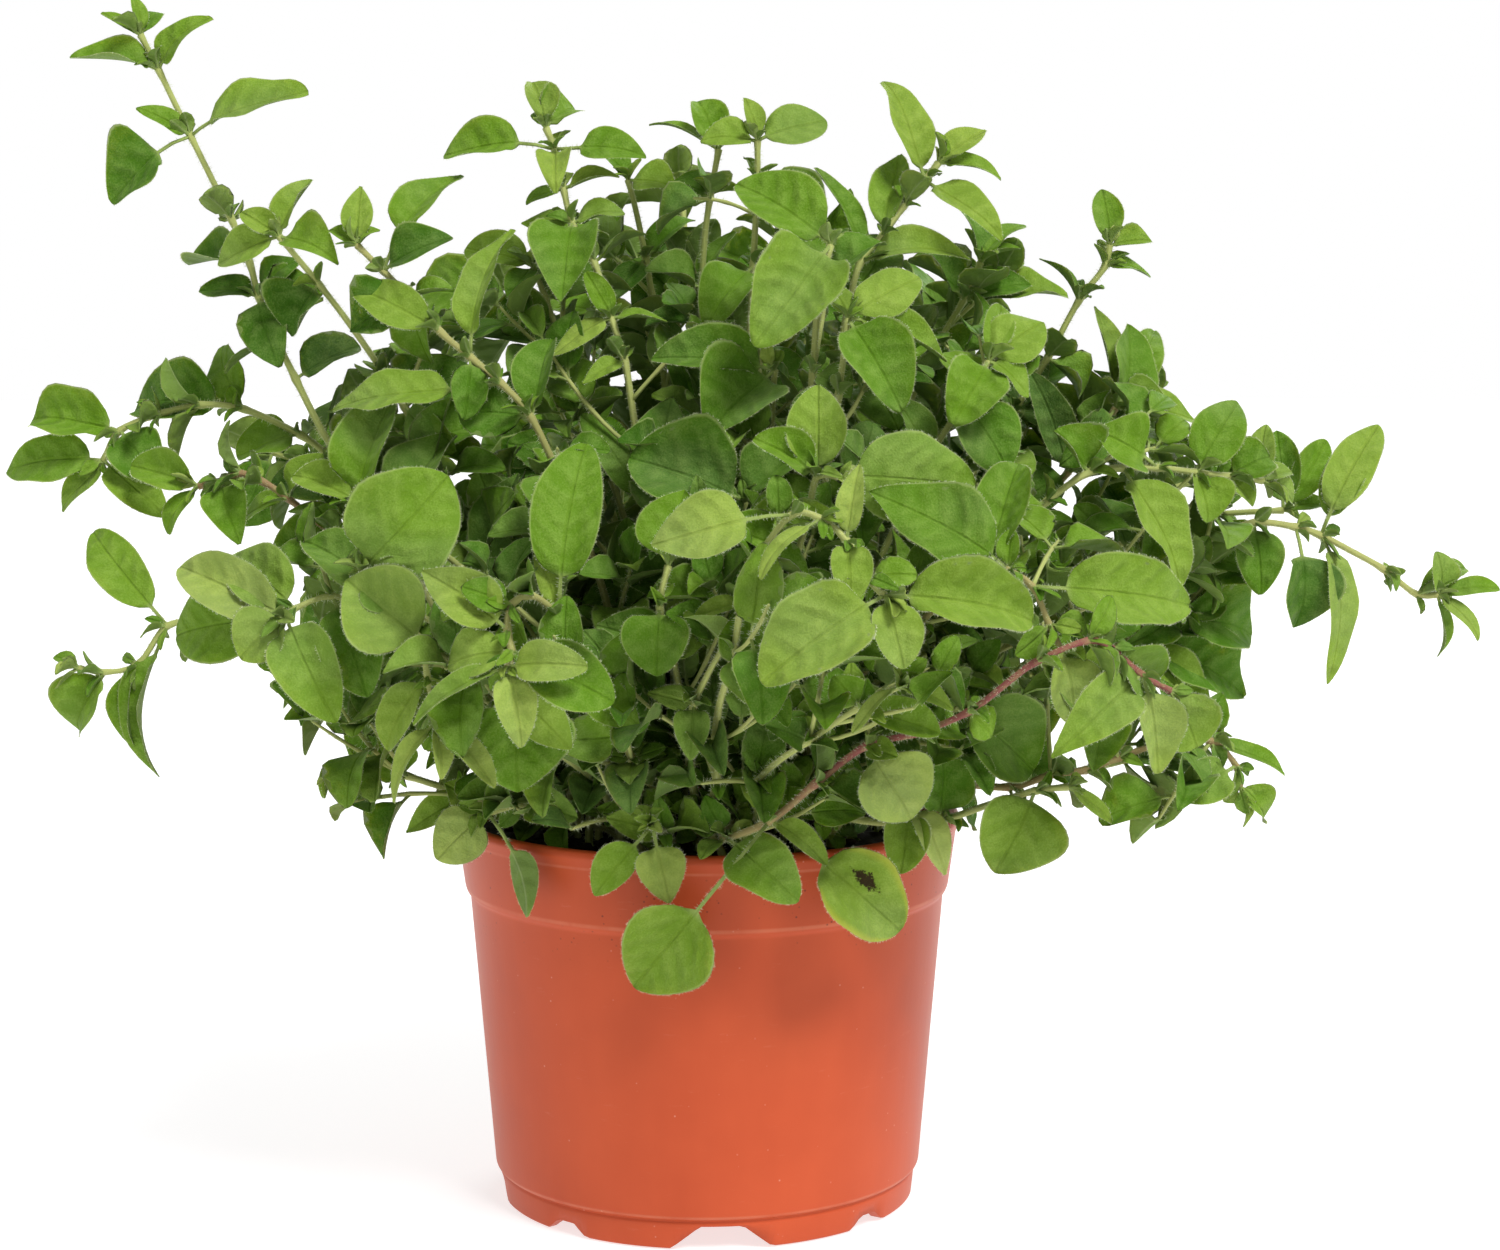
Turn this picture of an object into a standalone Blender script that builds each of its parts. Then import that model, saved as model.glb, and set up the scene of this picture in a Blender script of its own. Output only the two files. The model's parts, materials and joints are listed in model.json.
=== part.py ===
"""Potted marjoram: a plastic nursery pot, its potting soil and the leafy shoots in it.

Metres, +Z up, standing on z = 0, with the origin under the middle of the whole plant.
The plant is laid out about the pot's axis, in millimetres, and moved over the origin at
the end. Every shoot is one grown piece: a square stem with its leaves, rooted in a
socket of its own in the soil.
"""
import math
import random
from itertools import permutations

import bmesh
import bpy
import numpy as np
from mathutils import Vector
from mathutils.bvhtree import BVHTree
from mathutils.kdtree import KDTree

MM = 0.001

# ---- pot (mm) ----
RIM_RADIUS = 60.0
POT_HEIGHT = 92.3
BAND_LOW = 74.3
BAND_LOW_RADIUS = 57.4
WALL_TOP_RADIUS = 56.2
WALL_FOOT_RADIUS = 50.8
GROOVE_HEIGHT = 6.4
FOOT_RADIUS = 49.8
WALL = 1.3
FLOOR_TOP = 8.2
FLOOR_UNDER = GROOVE_HEIGHT + 0.2
LIP_INNER_RADIUS = RIM_RADIUS - 3.6
LIP_INNER_HEIGHT = POT_HEIGHT - 3.0
POT_STEPS = 48
GAPS = 8
FIRST_GAP = -86.3
# Wide and narrow gaps take turns: width at the ceiling, width on the ground, height.
GAP_SHAPES = ((9.9, 23.7, 5.3), (5.0, 12.0, 2.8))
DRAIN_HOLES = 8
DRAIN_RING = 33.0
DRAIN_RADIUS = 4.5

# ---- soil (mm) ----
SOIL_GAP = 0.3
SOIL_EDGE = 86.0
SOIL_CROWN = 88.2
ROOT_DEPTH = 12.0
SOCKET_RADIUS = 1.9
SOCKET_LENGTH = 16.3

# ---- shoots (mm) ----
EYE_BACK = 717.0
EYE_UP = 224.0
STEM_FOOT_RADIUS = 1.15
STEM_TIP_RADIUS = 0.75
STEM_SPACING = 4.2
FOOT_SPACING = 6.6
PLANTED_RADIUS = 48.5
PATH_STEP = 11.0
LEAF_KEEL = 0.45
UPPER_SKIN = 0.35
FOLD = 0.16
NODE_BAND = 2.0
SQUARENESS = 0.75
LEAF_CLEAR = 0.4
STALK_HALF = 0.75
TOUCH = 1e-4
NECK_AT = 0.3
SMALLEST_LEAF = 9.5

# Each hand-laid shoot: the way its stem runs, then its leaves.
# Stem points are (across, up, near): across and up as the point shows on the plant's
# middle plane to an eye in front, near = how far it stands towards that eye.
# Leaves are (stem point, tip across, tip up, lean to the eye, width, roll, tone[, stalk]):
# roll 0 turns the upper face to the eye, tone runs from -1 (old, dark) to 1 (young, yellow).
HAND_LAID = (
    # left spire
    (((-34, 125, 10), (-62, 148, 12), (-84, 172, 12), (-100, 203, 8), (-104, 213, 6),
      (-106, 221, 5), (-110, 231, 4), (-119, 250, 2), (-126, 265, 0), (-130, 273, 0)),
     ((4, -118, 215, 4, 10, 35, -.6), (4, -94, 222, 2, 9, 30, -.7), (5, -121, 222, -5, 10, 25, -.7),
      (7, -138, 235, 2, 14, 10, -.5, .35), (7, -92, 261, 2, 12, 30, 0, .2),
      (7, -131, 257, 4, 6, 20, 0), (8, -146, 270, 3, 8, 35, -.2), (8, -115, 278, 2, 8, 20, .2),
      (9, -139, 278, 0, 4, 40, 0), (9, -131, 282, 0, 4, 50, .1), (9, -126, 279, -2, 5, 10, -.2))),
    # rosette beside the spire
    (((-30, 120, 2), (-55, 160, 10), (-75, 195, 14), (-90, 216, 15), (-99, 227, 16)),
     ((4, -92, 241, 0, 7, 15, .2), (4, -108, 233, 2, 6, 10, .3), (4, -114, 221, 4, 9, 5, .4),
      (4, -86, 222, 2, 10, 20, .1), (3, -97, 204, -5, 15, 10, -.8))),
    # brown hairy stem with the upright sprig
    (((-22, 135, 30), (-34, 170, 34), (-41, 185, 36), (-48, 193, 36), (-55, 199, 34),
      (-62, 205, 32), (-69, 213, 28), (-75, 219, 26), (-81, 225, 24)),
     ((8, -80, 239, 0, 7, 10, .2), (8, -88, 229, 0, 4, 20, .2), (8, -76, 229, 2, 4, 40, .3),
      (7, -57, 243, -4, 10, 15, .1, .3), (7, -59, 227, 4, 9, 20, -.7), (6, -59, 215, 0, 5, 40, -.1),
      (5, -83, 216, 4, 10, 15, .1), (4, -47, 231, -2, 9, 25, .1, .15), (3, -88, 188, 4, 11, 25, .1, .3),
      (2, -36, 204, -6, 10, 20, -.5))),
    # top sprig, left of centre
    (((-8, 130, 20), (-14, 165, 24), (-19, 198, 22), (-22, 208, 20), (-26, 221, 16),
      (-31, 230, 14), (-33, 238, 12), (-35, 247, 10), (-37, 252, 10)),
     ((5, -34, 213, 8, 16, 5, -.1), (5, -19, 233, 2, 7, 20, .4), (5, -43, 231, 2, 6, 20, .3),
      (6, -20, 241, 2, 5, 30, .4), (6, -42, 235, 0, 5, 30, .1), (7, -14, 246, 2, 9, 15, 0, .3),
      (7, -61, 246, 2, 10, 10, .1, .3), (7, -35, 238, 8, 8, 0, .3), (8, -40, 263, 0, 8, 15, .3),
      (8, -30, 257, -4, 9, 10, -.2), (3, -36, 200, 4, 6, 20, .3), (3, -28, 219, 4, 6, 10, .1),
      (3, -9, 208, 2, 5, 40, .3), (2, -29, 193, 5, 5, 20, .3), (1, -29, 186, 4, 9, 20, -.2))),
    # leaves behind that sprig
    (((-12, 130, -5), (-22, 170, 0), (-34, 203, 4), (-40, 220, 2)),
     ((3, -56, 225, 0, 10, 15, .1), (3, -23, 229, -4, 9, 30, -.2), (2, -54, 206, 5, 14, 10, -.6),
      (3, -46, 212, 4, 7, 20, -.5))),
    (((-4, 130, -20), (-8, 180, -22), (-14, 222, -20), (-18, 240, -18)),
     ((3, -7, 238, 0, 9, 10, 0), (2, -3, 232, 0, 7, 20, -.4), (2, -22, 212, 0, 9, 20, -.7),
      (3, -27, 248, 0, 8, 30, -.2))),
    # top centre
    (((0, 130, -5), (0, 175, -6), (-1, 215, -4), (1, 236, -2), (3, 247, 0)),
     ((4, -13, 253, 0, 4, 50, 0), (4, -2, 258, -2, 9, 10, -.1), (3, -8, 240, 0, 9, 20, -.4),
      (2, -14, 220, 6, 9, 30, -.3), (2, 6, 229, 3, 6, 20, -.1), (1, -9, 210, 8, 10, 20, -.5))),
    (((6, 130, 10), (9, 180, 8), (11, 220, 6), (12, 240, 4), (12, 249, 4)),
     ((4, 28, 254, 2, 10, 5, .2), (4, -1, 250, 3, 8, 15, .2), (4, 9, 259, 0, 5, 15, .2),
      (3, 27, 229, 0, 12, 10, -.5), (2, 0, 207, 6, 12, 15, -.4))),
    # two big leaves, upper centre
    (((12, 130, 30), (20, 165, 40), (25, 195, 42), (26, 210, 42), (29, 225, 40)),
     ((4, 12, 204, 6, 19, 5, .3), (4, 7, 240, 0, 15, 10, -.1), (2, 34, 190, 2, 9, 20, -.2))),
    # top right sprig
    (((20, 130, 10), (26, 170, 20), (31, 200, 22), (36, 221, 22), (41, 227, 20),
      (46, 234, 18), (51, 240, 16), (54, 244, 16)),
     ((6, 42, 264, 0, 10, 20, .2), (6, 69, 226, 2, 9, 20, .2), (7, 65, 252, 0, 7, 20, .3),
      (7, 69, 241, 0, 6, 30, .2), (3, 62, 223, 3, 8, 25, .3), (3, 28, 229, 2, 5, 20, .3),
      (3, 27, 245, -6, 6, 30, -.4), (4, 45, 246, -8, 9, 20, .1), (2, 46, 205, 2, 9, 20, -.3))),
    (((16, 125, 34), (26, 160, 46), (31, 190, 50), (33, 208, 50)),
     ((3, 50, 218, 2, 11, 10, .3), (3, 29, 217, 2, 6, 15, .3), (3, 46, 187, 4, 15, 5, -.1),
      (3, 57, 199, -4, 8, 30, .1), (2, 20, 183, -4, 10, 20, -.5))),
    # round leaves, upper right
    (((24, 120, 20), (40, 150, 34), (52, 175, 42), (60, 188, 44), (66, 198, 42)),
     ((4, 79, 208, 0, 13, 10, .3), (4, 58, 184, 6, 14, 5, 0), (4, 76, 190, 2, 8, 25, .1),
      (4, 69, 212, -4, 7, 20, .3), (3, 71, 173, 2, 15, 10, -.3), (2, 44, 190, 2, 9, 20, -.2))),
    (((22, 130, -20), (40, 170, -18), (52, 198, -14), (60, 212, -10), (64, 221, -8)),
     ((4, 74, 231, 0, 6, 30, -.1), (4, 73, 225, 4, 6, 40, 0), (3, 76, 217, 4, 8, 15, -.5),
      (3, 85, 214, -2, 9, 20, 0), (2, 69, 201, 4, 9, 20, -.4), (4, 60, 234, 0, 7, 30, -.3))),
    # thin right sprig
    (((34, 130, -5), (58, 165, -4), (72, 186, -2), (80, 199, 0), (87, 212, 0), (93, 220, 0), (94, 225, 0)),
     ((6, 92, 238, 0, 7, 10, .1), (6, 104, 226, 0, 5, 20, .3), (5, 104, 218, 2, 5, 30, -.3),
      (4, 79, 223, 0, 4, 50, -.3), (2, 88, 184, 2, 9, 20, -.8), (2, 64, 200, 0, 9, 20, -.4))),
    # right shoulder
    (((36, 120, -10), (66, 150, -8), (85, 172, -2), (96, 187, 2)),
     ((3, 91, 211, 4, 8, 25, .1), (3, 99, 207, -2, 13, 10, -.5), (3, 106, 207, -8, 10, 25, .1),
      (3, 116, 185, -4, 11, 25, .1), (3, 109, 187, 6, 10, 25, 0), (2, 75, 196, 4, 8, 20, -.7))),
    (((38, 118, 30), (66, 150, 42), (80, 165, 42), (90, 172, 40), (98, 173, 38),
      (106, 173, 34), (115, 172, 30), (123, 171, 26), (131, 170, 22)),
     ((4, 114, 144, 6, 13, 20, .1), (5, 92, 182, 5, 14, 10, 0, .3), (6, 125, 189, 0, 12, 15, -.1),
      (6, 118, 160, 4, 10, 10, 0), (7, 133, 176, 2, 11, 15, -.1), (7, 129, 164, 2, 6, 20, .1),
      (8, 138, 172, 0, 5, 30, .3), (8, 139, 165, 0, 6, 20, .1), (8, 131, 184, 0, 6, 40, .1),
      (3, 82, 182, 3, 9, 20, -.3), (2, 66, 158, 4, 12, 20, -.1))),
    (((34, 116, -20), (70, 140, -20), (100, 156, -16), (120, 162, -10), (136, 163, -6)),
     ((4, 146, 180, 0, 8, 15, 0), (4, 134, 182, 0, 8, 20, -.3), (4, 148, 165, 2, 6, 30, 0),
      (3, 126, 178, 0, 9, 20, -.3), (3, 126, 146, 2, 9, 20, -.5))),
    # right arch
    (((40, 114, 10), (78, 134, 16), (104, 148, 14), (118, 156, 12), (129, 160, 10), (139, 159, 8),
      (145, 157, 6), (160, 149, 2), (168, 143, 0), (173, 143, 0)),
     ((6, 153, 179, 0, 9, 25, .2, .2), (6, 158, 184, 4, 10, 30, .2, .2), (6, 151, 122, 3, 9, 20, .2),
      (5, 140, 135, -4, 14, 5, -.7, .3), (9, 173, 153, 3, 7, 15, .1), (8, 180, 150, -6, 6, 25, .1),
      (9, 188, 145, 0, 5, 25, .2), (9, 184, 133, 5, 5, 20, .2), (9, 174, 128, -4, 4, 30, .2),
      (7, 163, 144, 0, 5, 30, -.3), (4, 131, 143, 3, 10, 20, -.5))),
    # dark leaves under the arch
    (((42, 112, -2), (76, 124, 4), (100, 132, 6), (111, 138, 6), (118, 146, 6)),
     ((4, 131, 153, 0, 13, 15, -.6), (3, 131, 134, 0, 16, 10, -.7), (2, 129, 119, 2, 17, 10, -.7),
      (2, 119, 113, 8, 11, 10, 0), (1, 94, 112, 4, 12, 20, -.5))),
    # large light leaf on the right
    (((26, 112, 44), (50, 136, 66), (66, 150, 74), (71, 149, 76), (77, 145, 78), (81, 136, 79),
      (84, 130, 80)),
     ((4, 116, 141, 0, 16, 10, .3, .2), (6, 88, 112, 3, 12, 10, .6), (3, 39, 168, 3, 17, 15, 0, .15),
      (3, 72, 159, 0, 5, 20, .2), (2, 73, 176, -4, 12, 20, -.1), (1, 38, 126, 2, 11, 15, -.2))),
    # purple stem across the front
    (((3, 85, 54), (15, 89, 62), (26, 98, 66), (38, 107, 72), (50, 110, 76), (62, 115, 80),
      (78, 127, 84), (90, 132, 84), (96, 130, 82), (103, 124, 80), (110, 120, 78)),
     ((1, -18, 48, 8, 21, 5, .3, .54), (0, 21, 73, 12, 14, 20, -.1, .25), (1, 29, 79, 6, 6, 30, .1),
      (1, 47, 62, 7, 18, 10, .1, .4), (3, 45, 105, 4, 6, 20, .2), (3, 49, 89, 2, 18, 5, .5, .2),
      (9, 83, 105, 4, 12, 10, .4), (9, 109, 100, 3, 10, 15, .6, .2), (10, 117, 106, 2, 14, 15, .3),
      (8, 108, 122, -6, 12, 10, .2), (5, 68, 109, 0, 9, 30, .1), (6, 90, 117, -5, 14, 15, 0))),
    # low right sprigs
    (((30, 93, 34), (55, 98, 44), (72, 97, 48), (82, 100, 50), (90, 101, 50), (98, 104, 50),
      (110, 108, 50), (120, 108, 50), (126, 102, 48), (127, 97, 48)),
     ((4, 97, 96, 0, 4, 40, -.2), (7, 138, 100, 0, 5, 40, -.2), (5, 121, 101, 0, 6, 30, -.6),
      (8, 112, 94, 2, 10, 15, .2, .2), (9, 134, 89, 0, 8, 20, .1), (9, 129, 87, 0, 4, 30, .3))),
    (((28, 90, 46), (55, 90, 54), (78, 96, 58), (86, 97, 58)),
     ((3, 97, 88, 0, 4, 30, .3), (2, 69, 76, 2, 19, 5, 0), (1, 56, 107, 2, 13, 15, -.4))),
    # front arch
    (((2, 108, 60), (6, 130, 76), (11, 150, 84), (20, 162, 88), (27, 161, 91), (33, 156, 94),
      (38, 147, 97), (42, 143, 99)),
     ((3, -13, 155, 4, 14, 15, .4, .35), (5, 36, 174, 0, 6, 20, .4), (5, 34, 141, 4, 9, 10, .5),
      (4, 12, 148, 4, 5, 50, .4, .2), (7, 13, 122, 3, 18, 10, .4, .15), (7, 47, 126, 5, 11, 10, .5),
      (7, 79, 138, 0, 15, 15, .2, .15), (1, 12, 116, 2, 12, 10, -.2))),
    (((12, 98, 56), (24, 108, 72), (36, 116, 82), (45, 121, 89)),
     ((3, 34, 111, 2, 4, 40, .5), (3, 59, 116, 0, 5, 30, .4), (3, 52, 128, -2, 6, 30, .1),
      (2, 30, 124, -3, 10, 20, -.2), (2, 55, 111, -4, 9, 20, 0), (1, 14, 112, 3, 9, 20, -.4))),
    # folded leaf and wide leaf, centre
    (((10, 108, 46), (18, 140, 62), (24, 162, 70), (26, 171, 74), (31, 171, 76)),
     ((3, 26, 193, 0, 13, 10, .2), (3, 11, 180, 0, 9, 15, .1), (4, 64, 169, 2, 20, 10, .2),
      (2, 8, 158, 4, 9, 20, 0), (1, 34, 144, -2, 12, 15, -.4))),
    # hooked stem, front left
    (((-20, 103, 50), (-30, 122, 66), (-35, 138, 72), (-41, 143, 75), (-46, 141, 78), (-47, 135, 80),
      (-46, 130, 82), (-47, 126, 84)),
     ((2, -29, 180, -2, 15, 5, 0, .22), (2, -40, 155, 0, 5, 20, .2), (5, -67, 149, 0, 12, 10, .3),
      (7, -71, 114, 3, 6, 40, .3), (7, -44, 107, 4, 9, 10, .4), (7, -28, 126, 3, 9, 10, .3),
      (6, -22, 118, 0, 14, 10, 0, .2), (6, -62, 127, 0, 11, 15, .2), (1, -16, 112, 4, 10, 15, -.1))),
    (((-26, 98, 40), (-45, 113, 54), (-58, 130, 60), (-66, 132, 66), (-66, 124, 70), (-64, 113, 72)),
     ((3, -85, 147, 5, 20, 5, .2), (5, -76, 94, 3, 5, 35, .5), (5, -63, 99, 4, 5, 30, .5),
      (5, -50, 98, 5, 6, 35, .4), (4, -77, 106, 0, 9, 15, .3), (1, -58, 104, 5, 12, 15, -.3))),
    # big round leaf, low left
    (((-18, 98, 46), (-34, 110, 60), (-45, 119, 68)),
     ((2, -45, 96, 5, 25, 5, 0, .1), (2, -32, 107, 2, 11, 15, .1), (1, -24, 124, 2, 12, 15, -.4))),
    # big light leaf, left
    (((-28, 110, 24), (-55, 130, 44), (-74, 143, 56), (-81, 149, 62)),
     ((3, -61, 171, 2, 24, 10, .4, .1), (3, -70, 141, 2, 13, 15, 0), (2, -95, 156, -4, 12, 20, -.4),
      (1, -48, 152, 3, 15, 15, -.6))),
    # left rosette turned to the front
    (((-30, 110, 14), (-58, 126, 34), (-78, 139, 46), (-88, 143, 52), (-97, 140, 57), (-99, 138, 60)),
     ((5, -124, 150, 0, 13, 10, .4), (4, -113, 154, -3, 14, 15, .2), (5, -127, 134, -5, 18, 5, -.1),
      (5, -110, 128, 4, 13, 5, .3), (5, -88, 113, 3, 14, 10, .3), (3, -80, 119, -2, 14, 15, -.2))),
    # low left sprig
    (((-32, 103, 4), (-70, 120, 14), (-100, 132, 22), (-117, 137, 26), (-127, 136, 26),
      (-134, 127, 26), (-142, 125, 26), (-148, 126, 26)),
     ((4, -145, 159, 0, 11, 10, -.1, .2), (4, -134, 100, 3, 8, 30, .2, .2), (5, -136, 107, -4, 8, 30, -.1),
      (6, -150, 111, 2, 13, 10, 0), (7, -154, 129, 0, 4, 40, 0), (1, -84, 102, 3, 12, 20, -.3))),
    # brown left arch
    (((-36, 110, -4), (-68, 138, 6), (-86, 156, 14), (-98, 166, 18), (-104, 170, 18), (-109, 172, 18),
      (-114, 170, 18), (-119, 169, 18)),
     ((7, -135, 174, 2, 10, 10, .2), (7, -127, 158, 2, 6, 25, .2), (6, -110, 156, 2, 10, 15, -.1),
      (3, -88, 176, 3, 8, 20, .3), (3, -111, 161, -3, 7, 40, -.1), (2, -103, 152, 2, 11, 20, -.5))),
    # long left arch
    (((-34, 118, -16), (-60, 146, -12), (-82, 170, -4), (-95, 181, -2), (-108, 187, 0), (-118, 188, 2),
      (-127, 186, 2), (-137, 182, 2), (-141, 175, 2)),
     ((4, -135, 188, -4, 17, 15, -.5, .2), (7, -158, 185, -1, 13, 15, -.1), (7, -129, 171, 3, 13, 15, -.5),
      (8, -165, 173, 2, 12, 10, .1), (8, -151, 163, 3, 7, 20, .3), (8, -127, 162, -1, 10, 20, .2),
      (3, -110, 176, 7, 13, 20, 0), (2, -103, 170, 4, 12, 10, -.8), (2, -72, 184, -4, 12, 20, -.5))),
    # tall pale leaf, left
    (((-26, 118, 10), (-52, 145, 24), (-72, 160, 32), (-82, 165, 34)),
     ((3, -71, 194, 0, 13, 10, 0, .1), (3, -97, 172, 3, 9, 25, .3), (2, -60, 182, 0, 13, 15, -.4),
      (1, -44, 172, 3, 12, 15, -.7))),
    # shaded leaves in the middle
    (((2, 108, 18), (4, 140, 36), (9, 165, 50)),
     ((2, -18, 176, 4, 20, 10, -.5), (1, -18, 148, 6, 12, 15, -.6), (2, 21, 178, -4, 12, 20, -.5))),
    (((6, 112, 4), (13, 150, 20), (16, 196, 36)),
     ((2, 0, 181, 5, 20, 10, -.4), (2, -13, 200, -2, 12, 15, -.3), (1, 26, 152, 5, 13, 15, -.6))),
    (((-4, 106, 46), (-8, 128, 60), (-11, 140, 70), (-9, 150, 70)),
     ((2, -12, 124, 5, 15, 5, -.1), (3, -5, 168, 0, 16, 15, -.2), (1, -26, 136, 2, 11, 20, -.6))),
    (((-4, 102, 50), (-3, 117, 64), (5, 131, 74), (9, 141, 76)),
     ((1, -4, 104, 5, 8, 5, .1), (3, -3, 138, 2, 5, 30, .2), (3, 12, 122, 5, 16, 10, -.2),
      (1, -14, 120, 2, 6, 20, 0))),
    # leaves hanging over the rim
    (((-34, 90, 28), (-43, 93, 40), (-52, 91, 47)),
     ((2, -65, 80, 4, 13, 10, .6, .15), (2, -42, 66, 8, 9, 150, -.2, .4), (1, -44, 98, 2, 8, 20, .1),
      (1, -31, 90, 7, 9, 15, 0))),
    (((-40, 88, 12), (-56, 95, 20), (-71, 100, 22), (-80, 103, 22), (-87, 101, 22)),
     ((4, -92, 95, 0, 4, 30, .2), (3, -82, 96, 2, 5, 30, 0), (1, -72, 87, 6, 7, 15, .2),
      (2, -77, 108, 0, 10, 20, .2), (1, -62, 98, 12, 8, 20, 0))),
    (((-10, 86, 50), (-13, 88, 58)),
     ((1, -27, 71, 6, 9, 15, .2, .3), (1, -9, 70, 6, 11, 5, .8, .3), (0, -24, 90, 4, 8, 20, 0))),
    (((28, 88, 40), (38, 94, 48), (49, 91, 54)),
     ((2, 46, 76, 6, 10, 10, 0), (2, 57, 78, 5, 8, 20, .8), (1, 24, 97, 6, 9, 15, -.6))),
    (((26, 100, 36), (46, 112, 52), (60, 116, 60)),
     ((2, 79, 101, 0, 20, 10, -.4), (1, 42, 96, 8, 12, 15, -.5), (2, 52, 124, 0, 14, 20, -.4))),
)

# Shoots on the far side: (compass angle, reach from the axis, height of the tip).
FAR_SIDE = (
    (12, 122, 168), (28, 104, 122), (42, 84, 204), (56, 114, 146), (74, 78, 216), (86, 108, 126),
    (97, 52, 240), (108, 110, 168), (126, 84, 212), (140, 112, 134), (158, 116, 174), (170, 98, 118),
    (62, 44, 232), (118, 92, 106),
)


def seen(across, up, near):
    """Bring a point of the middle plane near mm towards the eye, keeping where it shows."""
    k = 1.0 - near / EYE_BACK
    return Vector((across * k, -near, EYE_UP - (EYE_UP - up) * k))


def soil_height(x, y):
    r = math.hypot(x, y) / 52.0
    return SOIL_CROWN - (SOIL_CROWN - SOIL_EDGE) * min(1.0, r * r)


def far_route(angle, reach, top):
    """A stem that climbs out of the soil, leans out and lifts its tip."""
    c = math.cos(math.radians(angle))
    s = math.sin(math.radians(angle))
    rise = top - SOIL_CROWN
    steps = ((0.30, 0.34), (0.52, 0.64), (0.74, 0.86), (0.90, 0.96), (1.0, 1.0))
    return [Vector((reach * f * c, reach * f * s, SOIL_CROWN + rise * g)) for f, g in steps]


def between(p0, p1, p2, p3, t):
    """Catmull-Rom point between p1 and p2."""
    a = 2.0 * p1
    b = p2 - p0
    c = 2.0 * p0 - 5.0 * p1 + 4.0 * p2 - p3
    d = 3.0 * p1 - p0 - 3.0 * p2 + p3
    return 0.5 * (a + b * t + c * t * t + d * t * t * t)


def spread_feet(wanted):
    """Move the stem feet apart so that every root has its own socket."""
    feet = [Vector(w) for w in wanted]
    for _ in range(200):
        for i, a in enumerate(feet):
            for j in range(i):
                gap = a - feet[j]
                far = gap.length
                if far < FOOT_SPACING:
                    way = gap / far if far > 1e-6 else Vector((1.0, 0.0))
                    a += way * (FOOT_SPACING - far) * 0.5
                    feet[j] -= way * (FOOT_SPACING - far) * 0.5
        for a in feet:
            if a.length > PLANTED_RADIUS:
                a *= PLANTED_RADIUS / a.length
    return feet


def lay_paths(routes):
    """Stem paths as point lists, the first three under or at the soil, with their nodes."""
    wanted = []
    for route in routes:
        lean = route[0] * 0.5 + route[-1] * 0.12
        foot = Vector((lean.x, lean.y))
        if foot.length > 46.0:
            foot *= 46.0 / foot.length
        wanted.append(foot)
    feet = spread_feet(wanted)
    paths = []
    for foot, route in zip(feet, routes):
        ground = soil_height(foot.x, foot.y)
        low = Vector((foot.x, foot.y, ground - ROOT_DEPTH + 0.3))
        rise = Vector((foot.x, foot.y, ground + 1.5))
        ends = [rise] + list(route)
        points = [low, rise]
        nodes = []
        for k in range(len(ends) - 1):
            p0 = ends[k - 1] if k else rise - Vector((0, 0, 8))
            p3 = ends[k + 2] if k + 2 < len(ends) else 2.0 * ends[k + 1] - ends[k]
            count = max(1, round((ends[k + 1] - ends[k]).length / PATH_STEP))
            for m in range(1, count + 1):
                points.append(between(p0, ends[k], ends[k + 1], p3, m / count))
            nodes.append(len(points) - 1)
        paths.append((points, nodes))
    return paths


def part_stems(paths):
    """Ease crossing stems apart, and lift them off the soil and the rim."""
    for _ in range(60):
        rows = []
        for i, (points, _nodes) in enumerate(paths):
            for k in range(1, len(points) - 1):
                for m in range(4):
                    rows.append((points[k].lerp(points[k + 1], m / 4.0), i, k, m / 4.0))
        tree = KDTree(len(rows))
        for n, row in enumerate(rows):
            tree.insert(row[0], n)
        tree.balance()
        moves = [[Vector() for _ in points] for points, _nodes in paths]
        for n, (spot, i, k, t) in enumerate(rows):
            for other, m, far in tree.find_range(spot, STEM_SPACING):
                if rows[m][1] == i:
                    continue
                way = (spot - other) / far if far > 1e-5 else Vector((0.0, 1.0, 0.0))
                push = way * (STEM_SPACING - far) * 0.3
                for at, share in ((k, 1.0 - t), (k + 1, t)):
                    if share * push.length > moves[i][at].length:
                        moves[i][at] = push * share
        for (points, _nodes), shift in zip(paths, moves):
            for k in range(2, len(points)):
                points[k] += shift[k]
                clear_of_pot(points[k])


def clear_of_pot(p):
    r = math.hypot(p.x, p.y)
    if r < 52.0:
        p.z = max(p.z, soil_height(p.x, p.y) + 3.0)
    elif r < 66.0:
        p.z = max(p.z, POT_HEIGHT + 3.0)


def leaf(at, base, tip, width, face, stalk=0.12, plain=False):
    return {"at": at, "base": base, "tip": tip, "width": width, "face": face, "stalk": stalk, "plain": plain}


def dome_front(across, up):
    """How far the rounded head of the plant bulges towards the eye at this place."""
    inside = 1.0 - (across / 175.0) ** 2 - ((up - 105.0) / 165.0) ** 2
    return 100.0 * math.sqrt(max(0.03, inside))


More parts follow.
